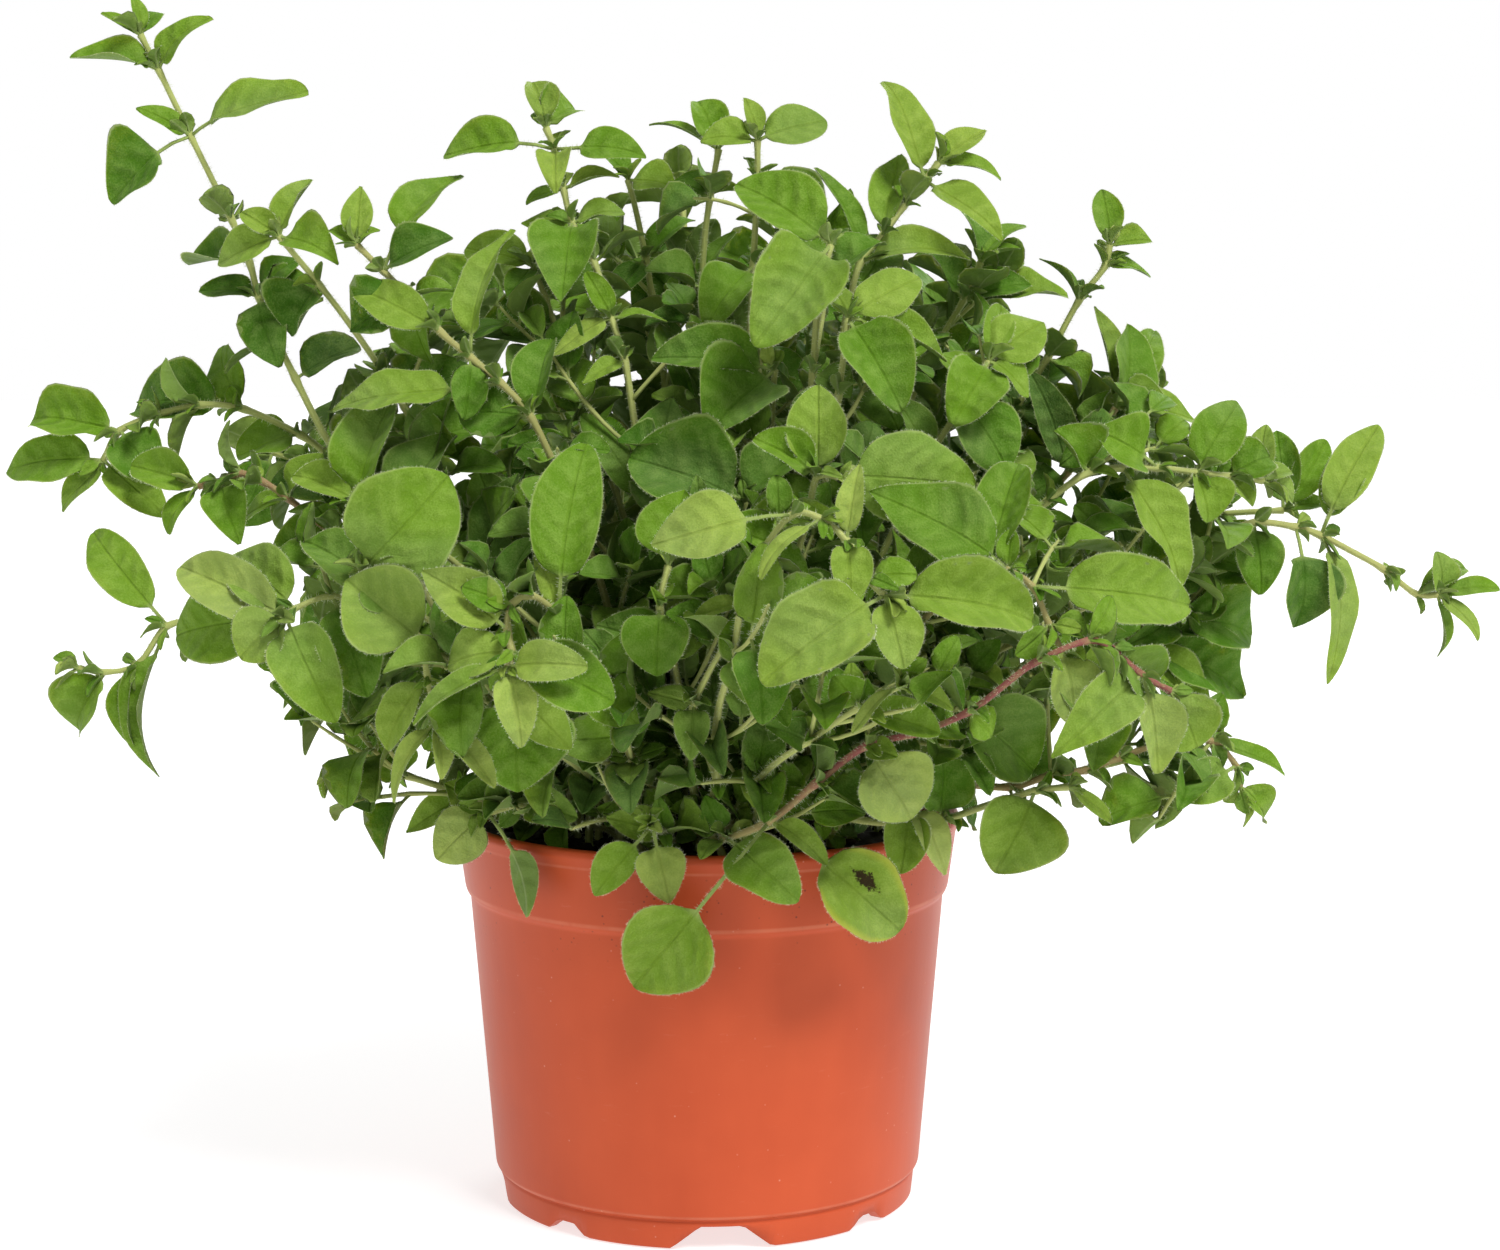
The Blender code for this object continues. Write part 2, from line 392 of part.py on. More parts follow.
def hand_leaf(points, nodes, spec):
    at, across, up, lean, width, roll, _tone = spec[:7]
    stalk = spec[7] if len(spec) > 7 else 0.12
    base = points[nodes[at]]
    k = 1.0 + base.y / EYE_BACK
    fall = dome_front(across, up) - dome_front(base.x / k, EYE_UP - (EYE_UP - base.z) / k)
    reach = math.hypot(across - base.x / k, up - EYE_UP + (EYE_UP - base.z) / k)
    fall = max(-0.45 * reach, min(0.45 * reach, fall))
    tip = seen(across, up, -base.y + lean + fall)
    along = (tip - base).normalized()
    eye = Vector((0.0, -EYE_BACK, EYE_UP))
    square_on = square_to(along, (eye - base).normalized())
    dome = Vector((base.x / 175.0, base.y / 100.0, (base.z - 105.0) / 165.0)).normalized()
    face = square_to(along, square_on * 0.8 + dome * 0.5)
    width /= max(0.8, face.dot(square_on))
    side = along.cross(face)
    if side.z < 0.0:
        side = -side
    turn = math.radians(roll)
    face = face * math.cos(turn) + side * math.sin(turn)
    return leaf(nodes[at], base, tip, width, face, stalk)


def blade_rings(lf, grow=0.0, start=0.0):
    """Lens-shaped cross-sections of a leaf, four corners each: right, upper, left, under."""
    base, tip = lf["base"], lf["tip"]
    along = tip - base
    length = along.length
    along = along / length
    face = square_to(along, lf["face"])
    side = along.cross(face)
    half = 0.5 * lf["width"]
    s = lf["stalk"]
    shares = [(start, STALK_HALF + 0.5 * start * half)]
    neck = lf.get("neck", s if s > 0.18 else 0.0)
    if neck:
        shares.append((max(neck, start + 0.05), STALK_HALF))
    shares.append((s + (1.0 - s) * 0.42, half))
    if not lf["plain"]:
        shares.append((s + (1.0 - s) * 0.76, half * 0.70))
    rings = []
    for share, reach in shares:
        bow = (0.14 if lf["plain"] else 0.22) * share * (1.0 - share) * length
        mid = base + along * (share * length) + face * bow
        lift = face * (reach * FOLD)
        reach += grow
        rings.append((mid + side * reach + lift, mid + face * (UPPER_SKIN + grow),
                      mid - side * reach + lift, mid - face * (LEAF_KEEL + grow)))
    return rings, tip + along * grow


def blade_hull(lf, grow, start):
    rings, tip = blade_rings(lf, grow, start)
    verts = [v for ring in rings for v in ring] + [tip]
    faces = [(3, 2, 1, 0)]
    for r in range(len(rings) - 1):
        for k in range(4):
            a, b = r * 4 + k, r * 4 + (k + 1) % 4
            faces.append((a, b, b + 4, a + 4))
    r = (len(rings) - 1) * 4
    faces += [(r + k, r + (k + 1) % 4, len(verts) - 1) for k in range(4)]
    return verts, faces


def square_to(along, toward):
    n = toward - along * toward.dot(along)
    if n.length < 1e-4:
        n = along.orthogonal()
    return n.normalized()


def frames(points):
    """For every path point the stem's direction and the two normals of its square section."""
    out = []
    u = None
    for k, p in enumerate(points):
        back = points[max(k - 1, 0)]
        ahead = points[min(k + 1, len(points) - 1)]
        along = (ahead - back).normalized()
        u = square_to(along, u if u is not None else Vector((1.0, 0.0, 0.0)))
        out.append((along, u, along.cross(u)))
    return out


class Crowd:
    """Everything placed so far, so that shoots and leaves keep clear of each other."""

    def __init__(self):
        self.held = []

    def add(self, owner, kind, verts, faces):
        tree = BVHTree.FromPolygons(verts, faces)
        self.held.append((owner, kind, *extent(verts), tree))

    def free(self, owner, outer, inner):
        """outer must miss all other shoots, inner (a blade without its foot) its own shoot."""
        low, high = extent(outer[0])
        trees = [None, None]
        for who, kind, a, b, other in self.held:
            own = who == owner
            if own == (kind == "all"):
                continue
            if any(low[i] > b[i] or high[i] < a[i] for i in range(3)):
                continue
            if trees[own] is None:
                trees[own] = BVHTree.FromPolygons(*(inner if own else outer))
            if trees[own].overlap(other):
                return False
        return True


def extent(verts):
    low = [min(v[i] for v in verts) for i in range(3)]
    high = [max(v[i] for v in verts) for i in range(3)]
    return low, high


def stem_hull(points, owner, crowd):
    for k in range(1, len(points) - 1):
        a, b = points[k], points[k + 1]
        along = (b - a).normalized()
        for kind, radius, end in (("all", STEM_FOOT_RADIUS + LEAF_CLEAR, 0.5), ("own", 0.8, -0.2)):
            u = along.orthogonal().normalized() * radius
            v = along.cross(u)
            verts = [p + q for p in (a - along * end, b + along * end) for q in (u, v, -u, -v)]
            faces = [(i, (i + 1) % 4, 4 + (i + 1) % 4, 4 + i) for i in range(4)]
            faces += [(3, 2, 1, 0), (4, 5, 6, 7)]
            crowd.add(owner, kind, verts, faces)


def pot_hull(crowd):
    """The pot and the soil with a little air around them."""
    ring = [(0.0, SOIL_CROWN + 1.2), (53.0, SOIL_EDGE + 1.2), (56.5, POT_HEIGHT + 0.8),
            (61.0, POT_HEIGHT + 0.8), (61.2, BAND_LOW), (57.4, BAND_LOW - 1.0), (51.6, 0.0)]
    verts, faces = [], []
    for k in range(POT_STEPS):
        a = 2.0 * math.pi * k / POT_STEPS
        verts += [Vector((r * math.cos(a), r * math.sin(a), z)) for r, z in ring]
    n = len(ring)
    for k in range(POT_STEPS):
        m = (k + 1) % POT_STEPS
        faces += [(k * n + i, m * n + i, m * n + i + 1, k * n + i + 1) for i in range(n - 1)]
    crowd.add(-1, "all", verts, faces)


def place(lf, owner, crowd, tries):
    for turn, lean, size in tries:
        base = lf["base"]
        along = lf["tip"] - base
        tip = base + along * size + Vector((0.0, -lean, 0.0))
        new = dict(lf)
        axis = (tip - base).normalized()
        face = square_to(axis, lf["face"])
        side = axis.cross(face)
        new["tip"] = tip
        new["width"] = lf["width"] * size
        new["face"] = face * math.cos(math.radians(turn)) + side * math.sin(math.radians(turn))
        outer = blade_hull(new, LEAF_CLEAR, 0.0)
        inner = blade_hull(new, 0.12, 0.3)
        if crowd.free(owner, outer, inner):
            crowd.add(owner, "all", *outer)
            crowd.add(owner, "own", *inner)
            return new
    return None


HAND_TRIES = ([(t, 0, 1.0) for t in (0, 10, -10, 20, -20)]
              + [(t, d, 1.0) for d in (3, -3, 6, -6, 9, -9, 13, -13) for t in (0, 16, -16, 32, -32)]
              + [(t, d, s) for s in (0.9, 0.8, 0.7) for d in (0, 4, -4, 9, -9)
                 for t in (0, 20, -20, 40, -40)])
SELF_TRIES = [(t, d, s) for s in (1.0, 0.85, 0.72) for d in (0, 4, -4)
              for t in (0, 22, -22, 45, -45)]


def self_pairs(points, nodes, taken, dice, far):
    """Opposite leaf pairs, each pair a quarter turn from the last, where no leaf was laid by hand."""
    spots = [n for k, n in enumerate(nodes) if k not in taken]
    first = nodes[min(taken)] if taken else len(points) - 1
    k = 4
    while k < first - 1:
        if all(abs(k - n) > 1 for n in nodes):
            spots.append(k)
        k += 2
    out = []
    turned_frames = frames(points)
    for rank, at in enumerate(sorted(set(spots))):
        along, u, v = turned_frames[at]
        sideways = u if rank % 2 else v
        share = at / max(1, len(points) - 1)
        size = (25.0 if far else 20.0) * (1.0 - 0.42 * share) * dice.uniform(0.82, 1.12)
        crossways = v if rank % 2 else u
        ways = [(sideways, 1.0), (-sideways, 1.0)]
        if far:
            ways += [(crossways, 0.62), (-crossways, 0.62)]
        for way_out, part in ways:
            spread = math.radians(dice.uniform(52.0, 78.0) * (0.75 if part < 1.0 else 1.0))
            way = along * math.cos(spread) + way_out * math.sin(spread)
            way.z += dice.uniform(-0.30, 0.10)
            way.normalize()
            base = points[at]
            outward = Vector((base.x, base.y, 0.35 * (base.z - 90.0))).normalized()
            face = along * 0.45 + Vector((0.0, 0.0, 0.55)) + outward * 0.5
            tip = base + way * size * part
            out.append(leaf(at, base, tip, size * part * dice.uniform(0.62, 0.80), face, 0.14, True))
    return out


def lay_out():
    """All shoots: (stem points, leaves, tone), with nothing of one touching another."""
    dice = random.Random(26)
    routes = [[seen(*p) for p in stem] for stem, _leaves in HAND_LAID]
    routes += [far_route(*spec) for spec in FAR_SIDE]
    paths = lay_paths(routes)
    part_stems(paths)
    crowd = Crowd()
    pot_hull(crowd)
    for i, (points, _nodes) in enumerate(paths):
        stem_hull(points, i, crowd)
    leaves = [[] for _ in paths]
    for i, (_stem, specs) in enumerate(HAND_LAID):
        points, nodes = paths[i]
        for spec in specs:
            lf = place(hand_leaf(points, nodes, spec), i, crowd, HAND_TRIES)
            if lf is not None and (lf["tip"] - lf["base"]).length >= SMALLEST_LEAF:
                leaves[i].append(lf)
    for i, (points, nodes) in enumerate(paths):
        hand = i < len(HAND_LAID)
        taken = {spec[0] for spec in HAND_LAID[i][1]} if hand else set()
        for lf in self_pairs(points, nodes, taken, dice, not hand):
            done = place(lf, i, crowd, SELF_TRIES)
            if done is not None and (done["tip"] - done["base"]).length >= SMALLEST_LEAF:
                leaves[i].append(done)
    tones = [sum(spec[6] for spec in specs) / len(specs) for _stem, specs in HAND_LAID]
    tones += [-0.2] * len(FAR_SIDE)
    return [(paths[i][0], leaves[i], tones[i]) for i in range(len(paths))]


def clear_scene():
    for ob in list(bpy.data.objects):
        bpy.data.objects.remove(ob, do_unlink=True)


def collection(name):
    made = bpy.data.collections.new(name)
    bpy.context.scene.collection.children.link(made)
    return made


def material(name, colour, rough):
    mat = bpy.data.materials.new(name)
    mat.use_nodes = True
    shader = mat.node_tree.nodes["Principled BSDF"]
    shader.inputs["Base Color"].default_value = (*colour, 1.0)
    shader.inputs["Roughness"].default_value = rough
    mat.diffuse_color = (*colour, 1.0)
    return mat


def skin_object(name, skin, where, mat=None):
    """An object of this bmesh, which is in millimetres."""
    bmesh.ops.scale(skin, vec=(MM, MM, MM), verts=skin.verts)
    mesh = bpy.data.meshes.new(name)
    skin.to_mesh(mesh)
    skin.free()
    ob = bpy.data.objects.new(name, mesh)
    where.objects.link(ob)
    if mat:
        mesh.materials.append(mat)
    return ob


def as_cutter(ob):
    ob.hide_render = True
    ob.display_type = "WIRE"
    return ob


def peg(name, sides, radius, length, where):
    """An upright cutter with this many sides, its middle at the object's origin."""
    made = bmesh.new()
    bmesh.ops.create_cone(made, cap_ends=True, segments=sides, radius1=radius, radius2=radius, depth=length)
    return as_cutter(skin_object(name, made, where))


def cut_away(ob, tools):
    mod = ob.modifiers.new("Cut", "BOOLEAN")
    mod.operation = "DIFFERENCE"
    mod.solver = "EXACT"
    mod.operand_type = "COLLECTION"
    mod.collection = tools


def turned(name, profile, where, mat):
    """A round body turned about the Z axis from an open profile, which runs up its outer side."""
    mesh = bpy.data.meshes.new(name)
    edges = [(i, i + 1) for i in range(len(profile) - 1)]
    mesh.from_pydata([(r * MM, 0.0, z * MM) for r, z in profile], edges, [])
    ob = bpy.data.objects.new(name, mesh)
    where.objects.link(ob)
    mesh.materials.append(mat)
    mod = ob.modifiers.new("Screw", "SCREW")
    mod.steps = POT_STEPS
    mod.render_steps = POT_STEPS
    mod.use_merge_vertices = True
    mod.merge_threshold = 0.00005
    mod.use_normal_calculate = True
    mod.use_smooth_shade = True
    return ob


def pot_wall_radius(z):
    """Radius of the inner wall at height z."""
    low = WALL_FOOT_RADIUS - WALL
    t = (z - FLOOR_TOP) / (LIP_INNER_HEIGHT - FLOOR_TOP)
    return low + t * (LIP_INNER_RADIUS - low)


def foot_gap(k, tools):
    """A wedge that opens the foot ring, wider towards the ground and outwards."""
    width_top, width_low, height = GAP_SHAPES[k % 2]
    wedge = bmesh.new()
    bmesh.ops.create_cube(wedge, size=2.0)
    for vert in wedge.verts:
        inward, sideways, below = (vert.co.x < 0.0, vert.co.y, vert.co.z < 0.0)
        radius = FOOT_RADIUS - 8.0 if inward else FOOT_RADIUS + 4.0
        width = width_low + (width_low - width_top) / height if below else width_top
        vert.co.x = radius
        vert.co.y = 0.5 * sideways * width * radius / FOOT_RADIUS
        vert.co.z = -1.0 if below else height
    gap = skin_object("foot_gap_%d" % k, wedge, tools)
    gap.rotation_euler.z = math.radians(FIRST_GAP + 360.0 * k / GAPS)
    return as_cutter(gap)


def drain_hole(k, tools):
    """One round hole through the pot's floor, between two gaps of the foot ring."""
    hole = peg("drain_hole_%d" % k, 12, DRAIN_RADIUS, 12.0, tools)
    turn = math.radians(FIRST_GAP + 360.0 * (k + 0.5) / DRAIN_HOLES)
    hole.location = Vector((math.cos(turn) * DRAIN_RING, math.sin(turn) * DRAIN_RING, FLOOR_TOP)) * MM
    return hole


def make_pot(where, tools):
    profile = (
        (0.0, FLOOR_UNDER), (FOOT_RADIUS - 4.2, FLOOR_UNDER), (FOOT_RADIUS - 3.4, 0.0),
        (FOOT_RADIUS - 1.0, 0.0), (FOOT_RADIUS - 0.3, 0.8), (FOOT_RADIUS, GROOVE_HEIGHT),
        (WALL_FOOT_RADIUS, GROOVE_HEIGHT + 1.4), (WALL_TOP_RADIUS, BAND_LOW - 0.8),
        (BAND_LOW_RADIUS - 0.3, BAND_LOW), (BAND_LOW_RADIUS, BAND_LOW + 0.8),
        (RIM_RADIUS - 0.4, POT_HEIGHT - 3.2), (RIM_RADIUS, POT_HEIGHT - 1.6),
        (RIM_RADIUS - 0.4, POT_HEIGHT - 0.5), (RIM_RADIUS - 1.6, POT_HEIGHT),
        (RIM_RADIUS - 2.9, POT_HEIGHT - 0.7), (LIP_INNER_RADIUS, LIP_INNER_HEIGHT),
        (pot_wall_radius(FLOOR_TOP), FLOOR_TOP), (0.0, FLOOR_TOP),
    )
    pot = turned("pot", profile, where, material("pot_plastic", (0.62, 0.12, 0.05), 0.45))
    for k in range(GAPS):
        foot_gap(k, tools)
    for k in range(DRAIN_HOLES):
        drain_hole(k, tools)
    cut_away(pot, tools)
    return pot


def make_soil(where, sockets, feet):
    top = pot_wall_radius(SOIL_EDGE) - SOIL_GAP - 0.1
    low = pot_wall_radius(FLOOR_TOP) - SOIL_GAP - 0.1
    profile = ((0.0, FLOOR_TOP + SOIL_GAP), (low, FLOOR_TOP + SOIL_GAP), (top, SOIL_EDGE),
               (36.0, soil_height(36.0, 0.0)), (18.0, soil_height(18.0, 0.0)), (0.0, SOIL_CROWN))
    soil = turned("soil", profile, where, material("potting_soil", (0.035, 0.022, 0.014), 0.95))
    for k, foot in enumerate(feet):
        socket = peg("root_socket_%02d" % k, 4, SOCKET_RADIUS, SOCKET_LENGTH, sockets)
        socket.location = (foot + Vector((0.0, 0.0, 0.5 * SOCKET_LENGTH - SOIL_GAP))) * MM
        socket.rotation_euler.z = math.radians(45.0)
    cut_away(soil, sockets)
    return soil


def kept_points(points, leaves):
    """The path points that carry leaves or bend the stem."""
    carriers = {lf["at"] for lf in leaves}
    kept = [0, 1]
    for k in range(2, len(points) - 1):
        a, b, c = points[kept[-1]], points[k], points[k + 1]
        way = (c - a).normalized()
        off = (b - a) - way * (b - a).dot(way)
        if k in carriers or off.length > 0.5 or (c - a).length > 45.0:
            kept.append(k)
    kept.append(len(points) - 1)
    return kept


def stem_radius(share):
    return STEM_FOOT_RADIUS + (STEM_TIP_RADIUS - STEM_FOOT_RADIUS) * share


def section(points, normals, k, shift):
    """Four corners of the stem at path point k, moved along it by shift."""
    along, u, v = normals[k]
    centre = points[k] + along * shift
    r = stem_radius(k / (len(points) - 1)) * SQUARENESS
    return [centre + (u * a + v * b) * r for a, b in ((1, -1), (1, 1), (-1, 1), (-1, -1))]


def drawn_on(skin, face, corners):
    """Extrude one face of the skin and move its corners, each to the nearest new place."""
    way = sum(corners, Vector()) / 4.0 - face.calc_center_median()
    turns = [corners[k:] + corners[:k] for k in range(4)]
    turns += [t[::-1] for t in turns]
    turns = [t for t in turns if (t[2] - t[0]).cross(t[3] - t[1]).dot(way) > 0.0] or turns
    best = min(turns, key=lambda t: sum((p - v.co).length_squared for p, v in zip(t, face.verts)))
    fresh = bmesh.ops.extrude_discrete_faces(skin, faces=[face])["faces"][0]
    for vert, spot in zip(fresh.verts, best):
        vert.co = spot
    return fresh


def leaf_way(lf):
    return (lf["tip"] - lf["base"]).normalized()


def stem_sections(points, leaves, normals):
    """Heights of the stem's sections as (path point, shift), which section holds which leaves,
    and the leaf that grows out of the stem's end."""
    rings = []
    holders = {}
    end_leaf = None
    last = len(points) - 1
    below = Vector(points[0])
    for k in kept_points(points, leaves):
        along = normals[k][0]
        own = sorted((lf for lf in leaves if lf["at"] == k), key=lambda lf: leaf_way(lf).dot(along))
        if k == last and own and leaf_way(own[-1]).dot(along) > 0.3:
            end_leaf = own.pop()
        bands = (len(own) + 3) // 4
        if not bands:
            rings.append((k, 0.0))
        room = (points[k] - below).dot(along) - 0.5 * NODE_BAND
        squeeze = min(1.0, room / max(1e-6, (2.0 * bands - 1.5) * NODE_BAND))
        for m in range(bands):
            shift = (m - bands + 1) * 2.0 * NODE_BAND
            holders[len(rings) + 1] = own[m * len(own) // bands:(m + 1) * len(own) // bands]
            rings.append((k, (shift - 0.5 * NODE_BAND) * squeeze))
            rings.append((k, (shift + 0.5 * NODE_BAND) * squeeze))
        below = points[k] + along * rings[-1][1]
    return rings, holders, end_leaf


def stem_faces(skin, end, held, axis_point):
    """The side of the newest stretch of stem for each held leaf, so that all point their way."""
    band = set()
    for edge in end.edges:
        band.update(face for face in edge.link_faces if face != end)
    band = sorted(band, key=lambda f: tuple(f.calc_center_median()))
    out = [outward_normal(face, axis_point) for face in band]
    best = max(permutations(range(len(band)), len(held)),
               key=lambda order: sum(out[n].dot(leaf_way(lf)) for n, lf in zip(order, held)))
    return [band[n] for n in best]


def grow_shoot(points, leaves):
    """One closed skin: the square stem drawn on ring by ring, every leaf out of a stem face.

    The faces of leaf n carry the number n + 1 in the layer "leaf", those of the stem 0.
    """
    normals = frames(points)
    rings, holders, end_leaf = stem_sections(points, leaves, normals)
    skin = bmesh.new()
    layer = skin.faces.layers.int.new("leaf")
    bmesh.ops.create_cube(skin, size=2.0)
    for vert in skin.verts:
        turn = ((1, -1), (1, 1), (-1, 1), (-1, -1)).index((round(vert.co.x), round(vert.co.y)))
        at, shift = rings[vert.co.z > 0.0]
        vert.co = section(points, normals, at, shift)[turn]
    end = max(skin.faces, key=lambda f: f.calc_center_median().z)
    for number, (k, shift) in enumerate(rings[2:], start=2):
        end = drawn_on(skin, end, section(points, normals, k, shift))
        held = holders.get(number, ())
        sides = stem_faces(skin, end, held, points[k])
        if number == len(rings) - 1 and end_leaf is not None:
            held = [*held, end_leaf]
            sides.append(end)
        for lf, side in zip(held, sides):
            before = set(skin.faces) - {side}
            draw_leaf(skin, side, lf)
            mark = next(n for n, own in enumerate(leaves) if own is lf) + 1
            for face in set(skin.faces) - before:
                face[layer] = mark
    bmesh.ops.triangulate(skin, faces=skin.faces)
    bmesh.ops.recalc_face_normals(skin, faces=skin.faces)
    if skin.calc_volume(signed=True) < 0.0:
        bmesh.ops.reverse_faces(skin, faces=skin.faces)
    return skin


def runs_through(spots, corners, one, two):
    """For each pair of triangles, does an edge of the first run through the second?"""
    origin, second, third = (spots[corners[two, k]] for k in range(3))
    side_a, side_b = second - origin, third - origin
    found = np.zeros(len(one), bool)
    for k in range(3):
        start, end = corners[one, k], corners[one, (k + 1) % 3]
        apart = ~np.any((corners[two] == start[:, None]) | (corners[two] == end[:, None]), axis=1)
        way = spots[end] - spots[start]
        cross_b = np.cross(way, side_b)
        steep = (side_a * cross_b).sum(1)
        apart &= np.abs(steep) > 1e-9
        scale = 1.0 / np.where(apart, steep, 1.0)
        off = spots[start] - origin
        cross_a = np.cross(off, side_a)
        u = (off * cross_b).sum(1) * scale
        v = (way * cross_a).sum(1) * scale
        t = (side_b * cross_a).sum(1) * scale
        inside = (u >= -TOUCH) & (v >= -TOUCH) & (u + v <= 1.0 + TOUCH)
        found |= apart & inside & (t > 0.0) & (t < 1.0)
    return found


def crossing_marks(skin):
    """The pairs of leaf numbers (0 is the stem) whose faces run through each other."""
    layer = skin.faces.layers.int["leaf"]
    skin.verts.index_update()
    spots = np.array([v.co for v in skin.verts])
    corners = np.array([[v.index for v in face.verts] for face in skin.faces])
    marks = [face[layer] for face in skin.faces]
    low, high = spots[corners].min(1), spots[corners].max(1)
    near = np.all((low[:, None] <= high[None]) & (low[None] <= high[:, None]), axis=2)
    np.fill_diagonal(near, False)
    one, two = np.nonzero(near)
    crossing = runs_through(spots, corners, one, two)
    return [(marks[a], marks[b]) for a, b in zip(one[crossing], two[crossing])]


def mended(lf):
    """The leaf with a slimmer foot, then narrower, then shorter, and at last none."""
    tried = lf.get("mends", 0)
    if tried == 0:
        return dict(lf, mends=1, neck=NECK_AT)
    if tried == 1:
        return dict(lf, mends=2, width=lf["width"] * 0.75)
    if tried == 2:
        return dict(lf, mends=3, tip=lf["base"].lerp(lf["tip"], 0.85))
    return None


def readiness(lf):
    """How readily a leaf gives way: the small ones, and those not laid by hand, first."""
    length = (lf["tip"] - lf["base"]).length
    return (2.0 if lf["plain"] else 1.0) / length ** 2


def whole_shoot(points, leaves):
    """Grow the shoot, mending leaves until its skin doesn't run through itself."""
    leaves = list(leaves)
    while True:
        skin = grow_shoot(points, leaves)
        pairs = crossing_marks(skin)
        blamed = set()
        while pairs:
            counts = {}
            for pair in pairs:
                for mark in set(pair) - {0}:
                    counts[mark] = counts.get(mark, 0.0) + readiness(leaves[mark - 1])
            if not counts:
                break
            worst = max(sorted(counts), key=lambda m: counts[m])
            blamed.add(worst)
            pairs = [pair for pair in pairs if worst not in pair]
        if not blamed:
            return skin
        skin.free()
        leaves = [mended(lf) if n + 1 in blamed else lf for n, lf in enumerate(leaves)]
        leaves = [lf for lf in leaves if lf is not None]


def outward_normal(face, axis_point):
    """The face's normal, turned away from a point on the stem's axis."""
    face.normal_update()
    out = face.calc_center_median() - axis_point
    return face.normal if face.normal.dot(out) > 0.0 else -face.normal


def draw_leaf(skin, face, lf):
    """Draw a leaf out of one face of the stem and close it at its tip."""
    rings, tip = blade_rings(lf)
    for ring in rings[1:]:
        face = drawn_on(skin, face, list(ring))
    fresh = bmesh.ops.extrude_discrete_faces(skin, faces=[face])["faces"][0]
    bmesh.ops.pointmerge(skin, verts=fresh.verts, merge_co=tip)


def make_shoot(index, points, leaves, tone, where):
    name = "shoot_%02d" % (index + 1)
    t = 0.5 + 0.5 * tone
    colour = (0.05 + 0.13 * t, 0.16 + 0.20 * t, 0.03 + 0.03 * t)
    skin = whole_shoot(points, leaves)
    return skin_object(name, skin, where, material(name + "_green", colour, 0.6))


def stand_on_origin(shoots):
    """Move everything so that the origin lies under the middle of the whole plant."""
    spots = [v.co for shoot in shoots for v in shoot.data.vertices]
    middle_x = 0.5 * (min(p.x for p in spots) + max(p.x for p in spots))
    middle_y = 0.5 * (min(p.y for p in spots) + max(p.y for p in spots))
    for ob in bpy.data.objects:
        ob.location.x -= middle_x
        ob.location.y -= middle_y


def main():
    clear_scene()
    parts = collection("potted_marjoram")
    tools = collection("pot_cutters")
    sockets = collection("soil_cutters")
    shoots = lay_out()
    make_pot(parts, tools)
    make_soil(parts, sockets, [points[0] for points, _leaves, _tone in shoots])
    grown = [make_shoot(k, points, leaves, tone, parts)
             for k, (points, leaves, tone) in enumerate(shoots)]
    stand_on_origin(grown)


main()
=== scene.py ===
"""The looks of the potted marjoram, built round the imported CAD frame.

The shoots are laid out about the pot's axis in millimetres, as the CAD lays them out, and
every skin is moved onto the pot in metres when its mesh is made.
"""

import json
import math
import random

import bmesh
import bpy
import numpy as np
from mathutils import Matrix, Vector, noise
from mathutils.bvhtree import BVHTree
from mathutils.kdtree import KDTree

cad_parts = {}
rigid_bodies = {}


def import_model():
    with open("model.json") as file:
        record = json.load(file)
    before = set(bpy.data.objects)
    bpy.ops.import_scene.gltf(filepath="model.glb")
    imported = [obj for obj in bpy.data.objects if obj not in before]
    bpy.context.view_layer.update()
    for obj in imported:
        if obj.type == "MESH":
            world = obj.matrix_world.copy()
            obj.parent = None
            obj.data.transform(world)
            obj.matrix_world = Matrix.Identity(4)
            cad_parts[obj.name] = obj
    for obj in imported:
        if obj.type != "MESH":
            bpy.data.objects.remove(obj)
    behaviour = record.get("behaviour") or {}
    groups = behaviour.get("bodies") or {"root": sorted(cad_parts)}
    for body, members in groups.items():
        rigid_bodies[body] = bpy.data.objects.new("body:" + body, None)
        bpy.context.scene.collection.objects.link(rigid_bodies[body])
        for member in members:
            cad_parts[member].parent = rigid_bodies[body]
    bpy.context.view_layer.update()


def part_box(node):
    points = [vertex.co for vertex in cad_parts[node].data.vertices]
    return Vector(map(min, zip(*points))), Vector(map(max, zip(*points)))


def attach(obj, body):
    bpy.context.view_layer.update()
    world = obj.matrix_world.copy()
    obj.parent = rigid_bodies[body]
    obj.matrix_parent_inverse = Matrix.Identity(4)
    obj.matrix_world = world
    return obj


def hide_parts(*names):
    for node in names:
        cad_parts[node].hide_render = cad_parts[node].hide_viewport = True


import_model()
pot_low, pot_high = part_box("pot")
POT_AXIS = np.array([0.5 * (pot_low.x + pot_high.x), 0.5 * (pot_low.y + pot_high.y), 0.0])

MM = 0.001
FULL_TURN = 6.283

# ---- pot (mm) ----
RIM_RADIUS = 60.0
POT_HEIGHT = 92.3
BAND_LOW = 74.3
BAND_LOW_RADIUS = 57.4
WALL_TOP_RADIUS = 56.2
WALL_FOOT_RADIUS = 50.8
GROOVE_HEIGHT = 6.4
FOOT_RADIUS = 49.8
WALL = 1.3
FLOOR_TOP = 8.2
FLOOR_UNDER = GROOVE_HEIGHT + 0.2
LIP_INNER_RADIUS = RIM_RADIUS - 3.6
LIP_INNER_HEIGHT = POT_HEIGHT - 3.0
GAPS = 8
FIRST_GAP = -86.3
# Wide and narrow gaps take turns: width at the ceiling, width on the ground, height.
GAP_SHAPES = ((9.9, 23.7, 5.3), (5.0, 12.0, 2.8))
DRAIN_HOLES = 8
DRAIN_RING = 33.0
DRAIN_RADIUS = 4.5
DRAIN_SIDES = 32
DRILL_REACH = 6.0

